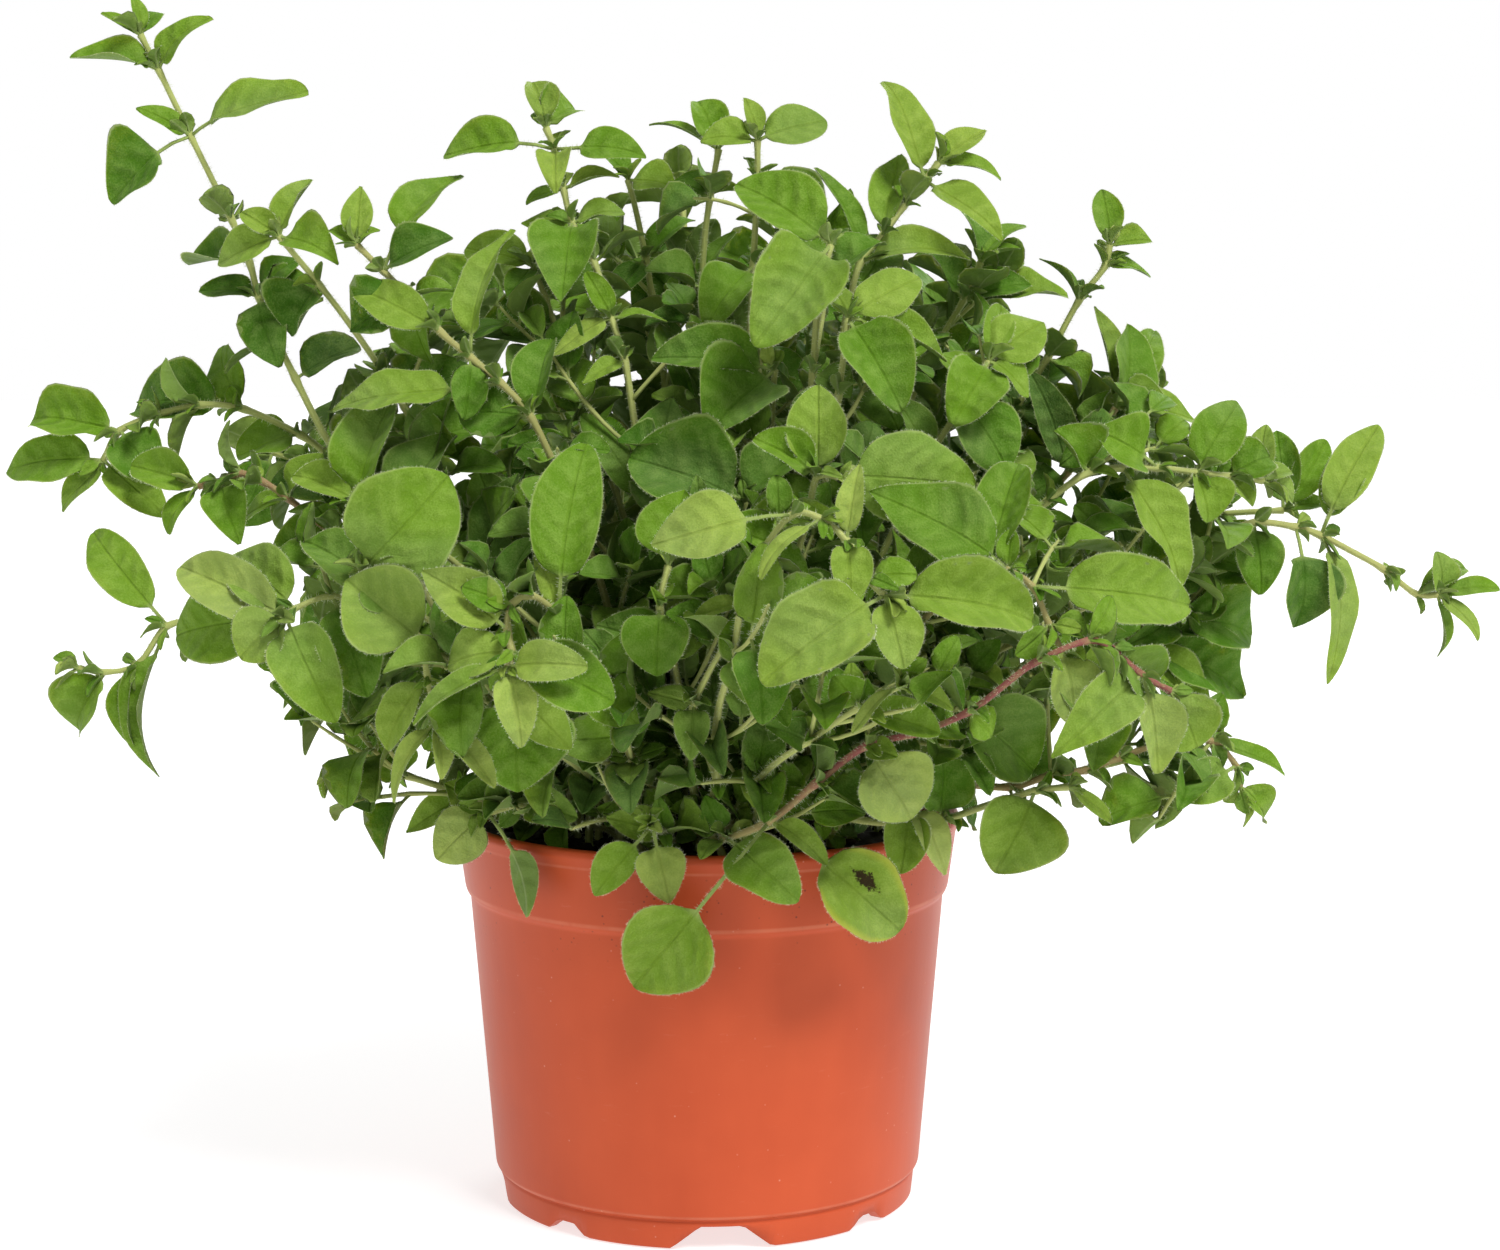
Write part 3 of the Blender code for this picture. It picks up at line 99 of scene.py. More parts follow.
# ---- soil (mm) ----
SOIL_GAP = 0.3
SOIL_EDGE = 86.0
SOIL_CROWN = 88.2
SOIL_SPAN = 52.0
ROOT_DEPTH = 12.0

# ---- the eye in front (mm, degrees) ----
EYE_BACK = 717.0
EYE_UP = 224.0
EYE = Vector((0.0, -EYE_BACK, EYE_UP))
EYE_PITCH = 7.0
EYE_YAW = 0.82
LENS = 73.4

# ---- shoots (mm) ----
STEM_FOOT_RADIUS = 1.15
STEM_TIP_RADIUS = 0.75
STEM_SPACING = 4.2
STEM_LIFT = 3.0
FOOT_SPACING = 6.6
PLANTED_RADIUS = 48.5
WANTED_RADIUS = 46.0
PATH_STEP = 11.0
LEAF_KEEL = 0.45
UPPER_SKIN = 0.35
FOLD = 0.16
LEAF_CLEAR = 0.4
SMALL_CLEAR = 0.1
LAST_CLEAR = 0.05
# A leaf's own shoot is kept clear only past this share of its length, and by this much.
OWN_START = 0.3
OWN_CLEAR = 0.12
STALK_HALF = 0.75
STALK = 0.12
# The head as half a rounded box: half its width, depth and height, and its middle's height.
HEAD_WIDE = 175.0
HEAD_DEEP = 100.0
HEAD_TALL = 165.0
HEAD_HEIGHT = 105.0
# How hard a leaf may lean to or from the eye, as a share of its length.
STEEPEST = 0.45

# ---- looks (mm, hairs per mm) ----
POT_SIDES = 216
SOIL_SIDES = 150
SOIL_RINGS = 34
CRUMBS = 420
BLADE_UPPER = 0.16
BLADE_UNDER = 0.20
KEEL = 0.30
PETIOLE_RADIUS = 0.42
PETIOLE_ROWS = (0.0, 0.5, 0.96)
BIG_LEAF = 15.0
SMALL_LEAF = 8.0
# Rows and columns of small, middling and big leaves.
FINE_MESH = ((7, 8), (11, 12), (16, 16))
PLAIN_MESH = ((5, 8), (7, 8), (9, 8))
STEM_STEP = 2.2
TWIG_STEP = 4.0
STEM_SIDES = 8
STEM_SLIM = 0.82
NODE_SWELLING = 0.34
MARGIN_HAIR_RADIUS = 0.026
STEM_HAIR_RADIUS = 0.042
MARGIN_HAIRS = 3.9
PETIOLE_HAIRS = 7.0
STEM_HAIRS = 8.0
PLAIN_HAIRS = 0.3
VEIN_SPACING = 4.9
TWIG_RADIUS = 0.62
TWIG_ROUNDS = (99, 8, 6)
LOW_NODES = (2, 3)
FLOOR_LEVEL = -0.3
FLOOR_RADIUS = 4000.0
FLOOR_SIDES = 96
# Side twigs stay in a circle round the head, and behind a listed leaf that shows near them.
HEAD_MIDDLE = (12.0, 118.0)
HEAD_REACH = 126.0
SCREEN_REACH = 16.0
SCREEN_GAP = 3.0
# Gaps in the head are looked for on a grid, inside the circle's edge and above the pot.
GAP_STEP = 4.0
GAP_CLEAR = 7.0
GAP_EDGE = 18.0
GAP_LOWEST = 112.0
# A leaf counts as a diamond there: half its width, and how far along it is widest.
DIAMOND_HALF = 0.38
DIAMOND_WIDEST = 0.55
# A leaf that closes a gap springs about this far from it and ends this far past it.
# The last number is how much its spring point is preferred at the back.
LATE_REACH = 10.0
LATE_PAST = 6.0
LATE_BACK = 0.08
LATE_ROUNDS = 3
# Across and up: the places for late leaves on the thin left shoulder, outside the circle.
LATE_SPOTS = ((-95, 214), (-101, 203), (-86, 199), (-92, 190), (-78, 208), (-74, 192), (-83, 181),
              (-98, 176), (-107, 165), (-70, 178), (-66, 203), (-61, 214), (-97, 164), (-88, 169),
              (-112, 197))
LEAF, STEM, HAIR = 0, 1, 2
NO_MARK = (0.0, 0.0, 0.0)

# ---- colours and light (linear, metres, watts) ----
WHITE = (1.0, 1.0, 1.0)
LEAF_RAMP = ((0.0, (0.026, 0.092, 0.004)), (0.25, (0.070, 0.180, 0.008)),
             (0.50, (0.122, 0.248, 0.012)), (0.75, (0.222, 0.330, 0.044)), (1.0, (0.440, 0.520, 0.170)))
UNDERSIDE = (0.19, 0.27, 0.075)
POT_DARK = (0.50, 0.072, 0.021)
POT_LIGHT = (0.585, 0.092, 0.029)
SKY_STRENGTH = 0.46
SUN_STRENGTH = 2.75
SUN_FROM = Vector((0.48, -0.62, 1.0))
SUN_SPREAD = 22.0
BACK_FILL_FROM = Vector((0.5, 1.3, 0.9))
BACK_FILL_SIZE = 0.9
BACK_FILL_POWER = 9.0
BACK_FILL_AIM = 0.15

# How brown purple each stem is that isn't plain green.
STEM_FLUSH = {2: 0.3, 14: 0.5, 17: 0.2, 19: 0.45, 20: 1.0, 21: 0.6, 26: 0.3, 32: 0.7}

# The leaf with a blotch of soil on it: its shoot and where its tip shows.
SOILED = (20, 47, 62)

# Each listed shoot: the way its stem runs, then its leaves.
# Stem points are (across, up, near): across and up as the point shows on the plant's
# middle plane to an eye in front, near = how far it stands towards that eye.
# Leaves are (stem point, tip across, tip up, lean to the eye, width, roll, tone[, stalk]):
# roll 0 turns the upper face to the eye, tone runs from -1 (old, dark) to 1 (young, yellow).
HAND_LAID = (
    # left spire
    (((-34, 125, 10), (-62, 148, 12), (-84, 172, 12), (-100, 203, 8), (-104, 213, 6),
      (-106, 221, 5), (-110, 231, 4), (-119, 250, 2), (-126, 265, 0), (-130, 273, 0)),
     ((4, -118, 215, 4, 10, 35, -.6), (4, -94, 222, 2, 9, 30, -.7), (5, -121, 222, -5, 10, 25, -.7),
      (7, -138, 235, 2, 14, 10, -.5, .35), (7, -92, 261, 2, 12, 30, 0, .2),
      (7, -131, 257, 4, 6, 20, 0), (8, -146, 270, 3, 8, 35, -.2), (8, -115, 278, 2, 8, 20, .2),
      (9, -139, 278, 0, 4, 40, 0), (9, -131, 282, 0, 4, 50, .1), (9, -126, 279, -2, 5, 10, -.2))),
    # rosette beside the spire
    (((-30, 120, 2), (-55, 160, 10), (-75, 195, 14), (-90, 216, 15), (-99, 227, 16)),
     ((4, -92, 241, 0, 7, 15, .2), (4, -108, 233, 2, 6, 10, .3), (4, -114, 221, 4, 9, 5, .4),
      (4, -86, 222, 2, 10, 20, .1), (3, -97, 204, -5, 15, 10, -.8))),
    # brown hairy stem with the upright sprig
    (((-22, 135, 30), (-34, 170, 34), (-41, 185, 36), (-48, 193, 36), (-55, 199, 34),
      (-62, 205, 32), (-69, 213, 28), (-75, 219, 26), (-81, 225, 24)),
     ((8, -80, 239, 0, 7, 10, .2), (8, -88, 229, 0, 4, 20, .2), (8, -76, 229, 2, 4, 40, .3),
      (7, -57, 243, -4, 10, 15, .1, .3), (7, -59, 227, 4, 9, 20, -.7), (6, -59, 215, 0, 5, 40, -.1),
      (5, -83, 216, 4, 10, 15, .1), (4, -47, 231, -2, 9, 25, .1, .15), (3, -88, 188, 4, 11, 25, .1, .3),
      (2, -36, 204, -6, 10, 20, -.5))),
    # top sprig, left of centre
    (((-8, 130, 20), (-14, 165, 24), (-19, 198, 22), (-22, 208, 20), (-26, 221, 16),
      (-31, 230, 14), (-33, 238, 12), (-35, 247, 10), (-37, 252, 10)),
     ((5, -34, 213, 8, 16, 5, -.1), (5, -19, 233, 2, 7, 20, .4), (5, -43, 231, 2, 6, 20, .3),
      (6, -20, 241, 2, 5, 30, .4), (6, -42, 235, 0, 5, 30, .1), (7, -14, 246, 2, 9, 15, 0, .3),
      (7, -61, 246, 2, 10, 10, .1, .3), (7, -35, 238, 8, 8, 0, .3), (8, -40, 263, 0, 8, 15, .3),
      (8, -30, 257, -4, 9, 10, -.2), (3, -36, 200, 4, 6, 20, .3), (3, -28, 219, 4, 6, 10, .1),
      (3, -9, 208, 2, 5, 40, .3), (2, -29, 193, 5, 5, 20, .3), (1, -29, 186, 4, 9, 20, -.2))),
    # leaves behind that sprig
    (((-12, 130, -5), (-22, 170, 0), (-34, 203, 4), (-40, 220, 2)),
     ((3, -56, 225, 0, 10, 15, .1), (3, -23, 229, -4, 9, 30, -.2), (2, -54, 206, 5, 14, 10, -.6),
      (3, -46, 212, 4, 7, 20, -.5))),
    (((-4, 130, -20), (-8, 180, -22), (-14, 222, -20), (-18, 240, -18)),
     ((3, -7, 238, 0, 9, 10, 0), (2, -3, 232, 0, 7, 20, -.4), (2, -22, 212, 0, 9, 20, -.7),
      (3, -27, 248, 0, 8, 30, -.2))),
    # top centre
    (((0, 130, -5), (0, 175, -6), (-1, 215, -4), (1, 236, -2), (3, 247, 0)),
     ((4, -13, 253, 0, 4, 50, 0), (4, -2, 258, -2, 9, 10, -.1), (3, -8, 240, 0, 9, 20, -.4),
      (2, -14, 220, 6, 9, 30, -.3), (2, 6, 229, 3, 6, 20, -.1), (1, -9, 210, 8, 10, 20, -.5))),
    (((6, 130, 10), (9, 180, 8), (11, 220, 6), (12, 240, 4), (12, 249, 4)),
     ((4, 28, 254, 2, 10, 5, .2), (4, -1, 250, 3, 8, 15, .2), (4, 9, 259, 0, 5, 15, .2),
      (3, 27, 229, 0, 12, 10, -.5), (2, 0, 207, 6, 12, 15, -.4))),
    # two big leaves, upper centre
    (((12, 130, 30), (20, 165, 40), (25, 195, 42), (26, 210, 42), (29, 225, 40)),
     ((4, 12, 204, 6, 19, 5, .3), (4, 7, 240, 0, 15, 10, -.1), (2, 34, 190, 2, 9, 20, -.2))),
    # top right sprig
    (((20, 130, 10), (26, 170, 20), (31, 200, 22), (36, 221, 22), (41, 227, 20),
      (46, 234, 18), (51, 240, 16), (54, 244, 16)),
     ((6, 42, 264, 0, 10, 20, .2), (6, 69, 226, 2, 9, 20, .2), (7, 65, 252, 0, 7, 20, .3),
      (7, 69, 241, 0, 6, 30, .2), (3, 62, 223, 3, 8, 25, .3), (3, 28, 229, 2, 5, 20, .3),
      (3, 27, 245, -6, 6, 30, -.4), (4, 45, 246, -8, 9, 20, .1), (2, 46, 205, 2, 9, 20, -.3))),
    (((16, 125, 34), (26, 160, 46), (31, 190, 50), (33, 208, 50)),
     ((3, 50, 218, 2, 11, 10, .3), (3, 29, 217, 2, 6, 15, .3), (3, 46, 187, 4, 15, 5, -.1),
      (3, 57, 199, -4, 8, 30, .1), (2, 20, 183, -4, 10, 20, -.5))),
    # round leaves, upper right
    (((24, 120, 20), (40, 150, 34), (52, 175, 42), (60, 188, 44), (66, 198, 42)),
     ((4, 79, 208, 0, 13, 10, .3), (4, 58, 184, 6, 14, 5, 0), (4, 76, 190, 2, 8, 25, .1),
      (4, 69, 212, -4, 7, 20, .3), (3, 71, 173, 2, 15, 10, -.3), (2, 44, 190, 2, 9, 20, -.2))),
    (((22, 130, -20), (40, 170, -18), (52, 198, -14), (60, 212, -10), (64, 221, -8)),
     ((4, 74, 231, 0, 6, 30, -.1), (4, 73, 225, 4, 6, 40, 0), (3, 76, 217, 4, 8, 15, -.5),
      (3, 85, 214, -2, 9, 20, 0), (2, 69, 201, 4, 9, 20, -.4), (4, 60, 234, 0, 7, 30, -.3))),
    # thin right sprig
    (((34, 130, -5), (58, 165, -4), (72, 186, -2), (80, 199, 0), (87, 212, 0), (93, 220, 0), (94, 225, 0)),
     ((6, 92, 238, 0, 7, 10, .1), (6, 104, 226, 0, 5, 20, .3), (5, 104, 218, 2, 5, 30, -.3),
      (4, 79, 223, 0, 4, 50, -.3), (2, 88, 184, 2, 9, 20, -.8), (2, 64, 200, 0, 9, 20, -.4))),
    # right shoulder
    (((36, 120, -10), (66, 150, -8), (85, 172, -2), (96, 187, 2)),
     ((3, 91, 211, 4, 8, 25, .1), (3, 99, 207, -2, 13, 10, -.5), (3, 106, 207, -8, 10, 25, .1),
      (3, 116, 185, -4, 11, 25, .1), (3, 109, 187, 6, 10, 25, 0), (2, 75, 196, 4, 8, 20, -.7))),
    (((38, 118, 30), (66, 150, 42), (80, 165, 42), (90, 172, 40), (98, 173, 38),
      (106, 173, 34), (115, 172, 30), (123, 171, 26), (131, 170, 22)),
     ((4, 114, 144, 6, 13, 20, .1), (5, 92, 182, 5, 14, 10, 0, .3), (6, 125, 189, 0, 12, 15, -.1),
      (6, 118, 160, 4, 10, 10, 0), (7, 133, 176, 2, 11, 15, -.1), (7, 129, 164, 2, 6, 20, .1),
      (8, 138, 172, 0, 5, 30, .3), (8, 139, 165, 0, 6, 20, .1), (8, 131, 184, 0, 6, 40, .1),
      (3, 82, 182, 3, 9, 20, -.3), (2, 66, 158, 4, 12, 20, -.1))),
    (((34, 116, -20), (70, 140, -20), (100, 156, -16), (120, 162, -10), (136, 163, -6)),
     ((4, 146, 180, 0, 8, 15, 0), (4, 134, 182, 0, 8, 20, -.3), (4, 148, 165, 2, 6, 30, 0),
      (3, 126, 178, 0, 9, 20, -.3), (3, 126, 146, 2, 9, 20, -.5))),
    # right arch
    (((40, 114, 10), (78, 134, 16), (104, 148, 14), (118, 156, 12), (129, 160, 10), (139, 159, 8),
      (145, 157, 6), (160, 149, 2), (168, 143, 0), (173, 143, 0)),
     ((6, 153, 179, 0, 9, 25, .2, .2), (6, 158, 184, 4, 10, 30, .2, .2), (6, 151, 122, 3, 9, 20, .2),
      (5, 140, 135, -4, 14, 5, -.7, .3), (9, 173, 153, 3, 7, 15, .1), (8, 180, 150, -6, 6, 25, .1),
      (9, 188, 145, 0, 5, 25, .2), (9, 184, 133, 5, 5, 20, .2), (9, 174, 128, -4, 4, 30, .2),
      (7, 163, 144, 0, 5, 30, -.3), (4, 131, 143, 3, 10, 20, -.5))),
    # dark leaves under the arch
    (((42, 112, -2), (76, 124, 4), (100, 132, 6), (111, 138, 6), (118, 146, 6)),
     ((4, 131, 153, 0, 13, 15, -.6), (3, 131, 134, 0, 16, 10, -.7), (2, 129, 119, 2, 17, 10, -.7),
      (2, 119, 113, 8, 11, 10, 0), (1, 94, 112, 4, 12, 20, -.5))),
    # large light leaf on the right
    (((26, 112, 44), (50, 136, 66), (66, 150, 74), (71, 149, 76), (77, 145, 78), (81, 136, 79),
      (84, 130, 80)),
     ((4, 116, 141, 0, 16, 10, .3, .2), (6, 88, 112, 3, 12, 10, .6), (3, 39, 168, 3, 17, 15, 0, .15),
      (3, 72, 159, 0, 5, 20, .2), (2, 73, 176, -4, 12, 20, -.1), (1, 38, 126, 2, 11, 15, -.2))),
    # purple stem across the front
    (((3, 85, 54), (15, 89, 62), (26, 98, 66), (38, 107, 72), (50, 110, 76), (62, 115, 80),
      (78, 127, 84), (90, 132, 84), (96, 130, 82), (103, 124, 80), (110, 120, 78)),
     ((1, -18, 48, 8, 21, 5, .3, .54), (0, 21, 73, 12, 14, 20, -.1, .25), (1, 29, 79, 6, 6, 30, .1),
      (1, 47, 62, 7, 18, 10, .1, .4), (3, 45, 105, 4, 6, 20, .2), (3, 49, 89, 2, 18, 5, .5, .2),
      (9, 83, 105, 4, 12, 10, .4), (9, 109, 100, 3, 10, 15, .6, .2), (10, 117, 106, 2, 14, 15, .3),
      (8, 108, 122, -6, 12, 10, .2), (5, 68, 109, 0, 9, 30, .1), (6, 90, 117, -5, 14, 15, 0))),
    # low right sprigs
    (((30, 93, 34), (55, 98, 44), (72, 97, 48), (82, 100, 50), (90, 101, 50), (98, 104, 50),
      (110, 108, 50), (120, 108, 50), (126, 102, 48), (127, 97, 48)),
     ((4, 97, 96, 0, 4, 40, -.2), (7, 138, 100, 0, 5, 40, -.2), (5, 121, 101, 0, 6, 30, -.6),
      (8, 112, 94, 2, 10, 15, .2, .2), (9, 134, 89, 0, 8, 20, .1), (9, 129, 87, 0, 4, 30, .3))),
    (((28, 90, 46), (55, 90, 54), (78, 96, 58), (86, 97, 58)),
     ((3, 97, 88, 0, 4, 30, .3), (2, 69, 76, 2, 19, 5, 0), (1, 56, 107, 2, 13, 15, -.4))),
    # front arch
    (((2, 108, 60), (6, 130, 76), (11, 150, 84), (20, 162, 88), (27, 161, 91), (33, 156, 94),
      (38, 147, 97), (42, 143, 99)),
     ((3, -13, 155, 4, 14, 15, .4, .35), (5, 36, 174, 0, 6, 20, .4), (5, 34, 141, 4, 9, 10, .5),
      (4, 12, 148, 4, 5, 50, .4, .2), (7, 13, 122, 3, 18, 10, .4, .15), (7, 47, 126, 5, 11, 10, .5),
      (7, 79, 138, 0, 15, 15, .2, .15), (1, 12, 116, 2, 12, 10, -.2))),
    (((12, 98, 56), (24, 108, 72), (36, 116, 82), (45, 121, 89)),
     ((3, 34, 111, 2, 4, 40, .5), (3, 59, 116, 0, 5, 30, .4), (3, 52, 128, -2, 6, 30, .1),
      (2, 30, 124, -3, 10, 20, -.2), (2, 55, 111, -4, 9, 20, 0), (1, 14, 112, 3, 9, 20, -.4))),
    # folded leaf and wide leaf, centre
    (((10, 108, 46), (18, 140, 62), (24, 162, 70), (26, 171, 74), (31, 171, 76)),
     ((3, 26, 193, 0, 13, 10, .2), (3, 11, 180, 0, 9, 15, .1), (4, 64, 169, 2, 20, 10, .2),
      (2, 8, 158, 4, 9, 20, 0), (1, 34, 144, -2, 12, 15, -.4))),
    # hooked stem, front left
    (((-20, 103, 50), (-30, 122, 66), (-35, 138, 72), (-41, 143, 75), (-46, 141, 78), (-47, 135, 80),
      (-46, 130, 82), (-47, 126, 84)),
     ((2, -29, 180, -2, 15, 5, 0, .22), (2, -40, 155, 0, 5, 20, .2), (5, -67, 149, 0, 12, 10, .3),
      (7, -71, 114, 3, 6, 40, .3), (7, -44, 107, 4, 9, 10, .4), (7, -28, 126, 3, 9, 10, .3),
      (6, -22, 118, 0, 14, 10, 0, .2), (6, -62, 127, 0, 11, 15, .2), (1, -16, 112, 4, 10, 15, -.1))),
    (((-26, 98, 40), (-45, 113, 54), (-58, 130, 60), (-66, 132, 66), (-66, 124, 70), (-64, 113, 72)),
     ((3, -85, 147, 5, 20, 5, .15), (5, -76, 94, 3, 5, 35, .5), (5, -63, 99, 4, 5, 30, .5),
      (5, -50, 98, 5, 6, 35, .4), (4, -77, 106, 0, 9, 15, .3), (1, -58, 104, 5, 12, 15, -.3))),
    # big round leaf, low left
    (((-18, 98, 46), (-34, 110, 60), (-45, 119, 68)),
     ((2, -45, 96, 5, 25, 5, -.15, .1), (2, -32, 107, 2, 11, 15, .1), (1, -24, 124, 2, 12, 15, -.4))),
    # big light leaf, left
    (((-28, 110, 24), (-55, 130, 44), (-74, 143, 56), (-81, 149, 62)),
     ((3, -61, 171, 2, 24, 10, .05, .1), (3, -70, 141, 2, 13, 15, 0), (2, -95, 156, -4, 12, 20, -.4),
      (1, -48, 152, 3, 15, 15, -.6))),
    # left rosette turned to the front
    (((-30, 110, 14), (-58, 126, 34), (-78, 139, 46), (-88, 143, 52), (-97, 140, 57), (-99, 138, 60)),
     ((5, -124, 150, 0, 13, 10, .4), (4, -113, 154, -3, 14, 15, .2), (5, -127, 134, -5, 18, 5, -.1),
      (5, -110, 128, 4, 13, 5, .3), (5, -88, 113, 3, 14, 10, .3), (3, -80, 119, -2, 14, 15, -.2))),
    # low left sprig
    (((-32, 103, 4), (-70, 120, 14), (-100, 132, 22), (-117, 137, 26), (-127, 136, 26),
      (-134, 127, 26), (-142, 125, 26), (-148, 126, 26)),
     ((4, -145, 159, 0, 11, 10, -.1, .2), (4, -134, 100, 3, 8, 30, .2, .2), (5, -136, 107, -4, 8, 30, -.1),
      (6, -150, 111, 2, 13, 10, 0), (7, -154, 129, 0, 4, 40, 0), (1, -84, 102, 3, 12, 20, -.3))),
    # brown left arch
    (((-36, 110, -4), (-68, 138, 6), (-86, 156, 14), (-98, 166, 18), (-104, 170, 18), (-109, 172, 18),
      (-114, 170, 18), (-119, 169, 18)),
     ((7, -135, 174, 2, 10, 10, .2), (7, -127, 158, 2, 6, 25, .2), (6, -110, 156, 2, 10, 15, -.1),
      (3, -88, 176, 3, 8, 20, .3), (3, -111, 161, -3, 7, 40, -.1), (2, -103, 152, 2, 11, 20, -.5))),
    # long left arch
    (((-34, 118, -16), (-60, 146, -12), (-82, 170, -4), (-95, 181, -2), (-108, 187, 0), (-118, 188, 2),
      (-127, 186, 2), (-137, 182, 2), (-141, 175, 2)),
     ((4, -135, 188, -4, 17, 15, -.5, .2), (7, -158, 185, -1, 13, 15, -.1), (7, -129, 171, 3, 13, 15, -.5),
      (8, -165, 173, 2, 12, 10, .1), (8, -151, 163, 3, 7, 20, .3), (8, -127, 162, -1, 10, 20, .2),
      (3, -110, 176, 7, 13, 20, 0), (2, -103, 170, 4, 12, 10, -.8), (2, -72, 184, -4, 12, 20, -.5))),
    # tall pale leaf, left
    (((-26, 118, 10), (-52, 145, 24), (-72, 160, 32), (-82, 165, 34)),
     ((3, -71, 194, 0, 13, 10, 0, .1), (3, -97, 172, 3, 9, 25, .3), (2, -60, 182, 0, 13, 15, -.4),
      (1, -44, 172, 3, 12, 15, -.7))),
    # shaded leaves in the middle
    (((2, 108, 18), (4, 140, 36), (9, 165, 50)),
     ((2, -18, 176, 4, 20, 10, -.5), (1, -18, 148, 6, 12, 15, -.6), (2, 21, 178, -4, 12, 20, -.5))),
    (((6, 112, 4), (13, 150, 20), (16, 196, 36)),
     ((2, 0, 181, 5, 20, 10, -.4), (2, -13, 200, -2, 12, 15, -.3), (1, 26, 152, 5, 13, 15, -.6))),
    (((-4, 106, 46), (-8, 128, 60), (-11, 140, 70), (-9, 150, 70)),
     ((2, -12, 124, 5, 15, 5, -.1), (3, -5, 168, 0, 16, 15, -.2), (1, -26, 136, 2, 11, 20, -.6))),
    (((-4, 102, 50), (-3, 117, 64), (5, 131, 74), (9, 141, 76)),
     ((1, -4, 104, 5, 8, 5, .1), (3, -3, 138, 2, 5, 30, .2), (3, 12, 122, 5, 16, 10, -.2),
      (1, -14, 120, 2, 6, 20, 0))),
    # leaves hanging over the rim
    (((-34, 90, 28), (-43, 93, 40), (-52, 91, 47)),
     ((2, -65, 80, 4, 13, 10, .6, .15), (2, -42, 66, 8, 9, 150, -.2, .4), (1, -44, 98, 2, 8, 20, .1),
      (1, -31, 90, 7, 9, 15, 0))),
    (((-40, 88, 12), (-56, 95, 20), (-71, 100, 22), (-80, 103, 22), (-87, 101, 22)),
     ((4, -92, 95, 0, 4, 30, .2), (3, -82, 96, 2, 5, 30, 0), (1, -72, 87, 6, 7, 15, .2),
      (2, -77, 108, 0, 10, 20, .2), (1, -62, 98, 12, 8, 20, 0))),
    (((-10, 86, 50), (-13, 88, 58)),
     ((1, -27, 71, 6, 9, 15, .2, .3), (1, -9, 70, 6, 11, 5, .8, .3), (0, -24, 90, 4, 8, 20, 0))),
    (((28, 88, 40), (38, 94, 48), (49, 91, 54)),
     ((2, 46, 76, 6, 10, 10, 0), (2, 57, 78, 5, 8, 20, .8), (1, 24, 97, 6, 9, 15, -.6))),
    (((26, 100, 36), (46, 112, 52), (60, 116, 60)),
     ((2, 79, 101, 0, 20, 10, -.4), (1, 42, 96, 8, 12, 15, -.5), (2, 52, 124, 0, 14, 20, -.4))),
)

# Shoots on the far side: (compass angle, reach from the axis, height of the tip).
FAR_SIDE = (
    (12, 122, 168), (28, 104, 122), (42, 84, 204), (56, 114, 146), (74, 78, 216), (86, 108, 126),
    (97, 52, 240), (108, 110, 168), (126, 84, 212), (140, 112, 134), (158, 116, 174), (170, 98, 118),
    (62, 44, 232), (118, 92, 106),
)


def draws(dice, low, high, *shape):
    """Random numbers between low and high, in rows of the given shape."""
    return np.array([dice.uniform(low, high) for _ in range(math.prod(shape))]).reshape(shape)


def seen(across, up, near):
    """Bring a point of the middle plane near mm towards the eye, keeping where it shows."""
    k = 1.0 - near / EYE_BACK
    return Vector((across * k, -near, EYE_UP - (EYE_UP - up) * k))


def shown_at(p):
    """Across and up: where a point shows on the plant's middle plane to the eye in front."""
    k = 1.0 + p.y / EYE_BACK
    return p.x / k, EYE_UP - (EYE_UP - p.z) / k


def shown(p):
    """The same as a point, for measuring from it and for trees."""
    return Vector((*shown_at(p), 0.0))


def soil_height(x, y):
    """The soil's slightly domed top."""
    r = math.hypot(x, y) / SOIL_SPAN
    return SOIL_CROWN - (SOIL_CROWN - SOIL_EDGE) * min(1.0, r * r)


def far_route(angle, reach, top):
    """A stem that climbs out of the soil, leans out and lifts its tip."""
    c = math.cos(math.radians(angle))
    s = math.sin(math.radians(angle))
    rise = top - SOIL_CROWN
    shares = ((0.30, 0.34), (0.52, 0.64), (0.74, 0.86), (0.90, 0.96), (1.0, 1.0))
    return [Vector((reach * f * c, reach * f * s, SOIL_CROWN + rise * g)) for f, g in shares]


def between(p0, p1, p2, p3, t):
    """Catmull-Rom point between p1 and p2."""
    a = 2.0 * p1
    b = p2 - p0
    c = 2.0 * p0 - 5.0 * p1 + 4.0 * p2 - p3
    d = 3.0 * p1 - p0 - 3.0 * p2 + p3
    return 0.5 * (a + b * t + c * t * t + d * t * t * t)


def spread_feet(wanted):
    """Move the stem feet apart so that every root has its own socket."""
    feet = [Vector(w) for w in wanted]
    for _ in range(200):
        for i, a in enumerate(feet):
            for j in range(i):
                gap = a - feet[j]
                far = gap.length
                if far < FOOT_SPACING:
                    way = gap / far if far > 1e-6 else Vector((1.0, 0.0))
                    a += way * (FOOT_SPACING - far) * 0.5
                    feet[j] -= way * (FOOT_SPACING - far) * 0.5
        for a in feet:
            if a.length > PLANTED_RADIUS:
                a *= PLANTED_RADIUS / a.length
    return feet


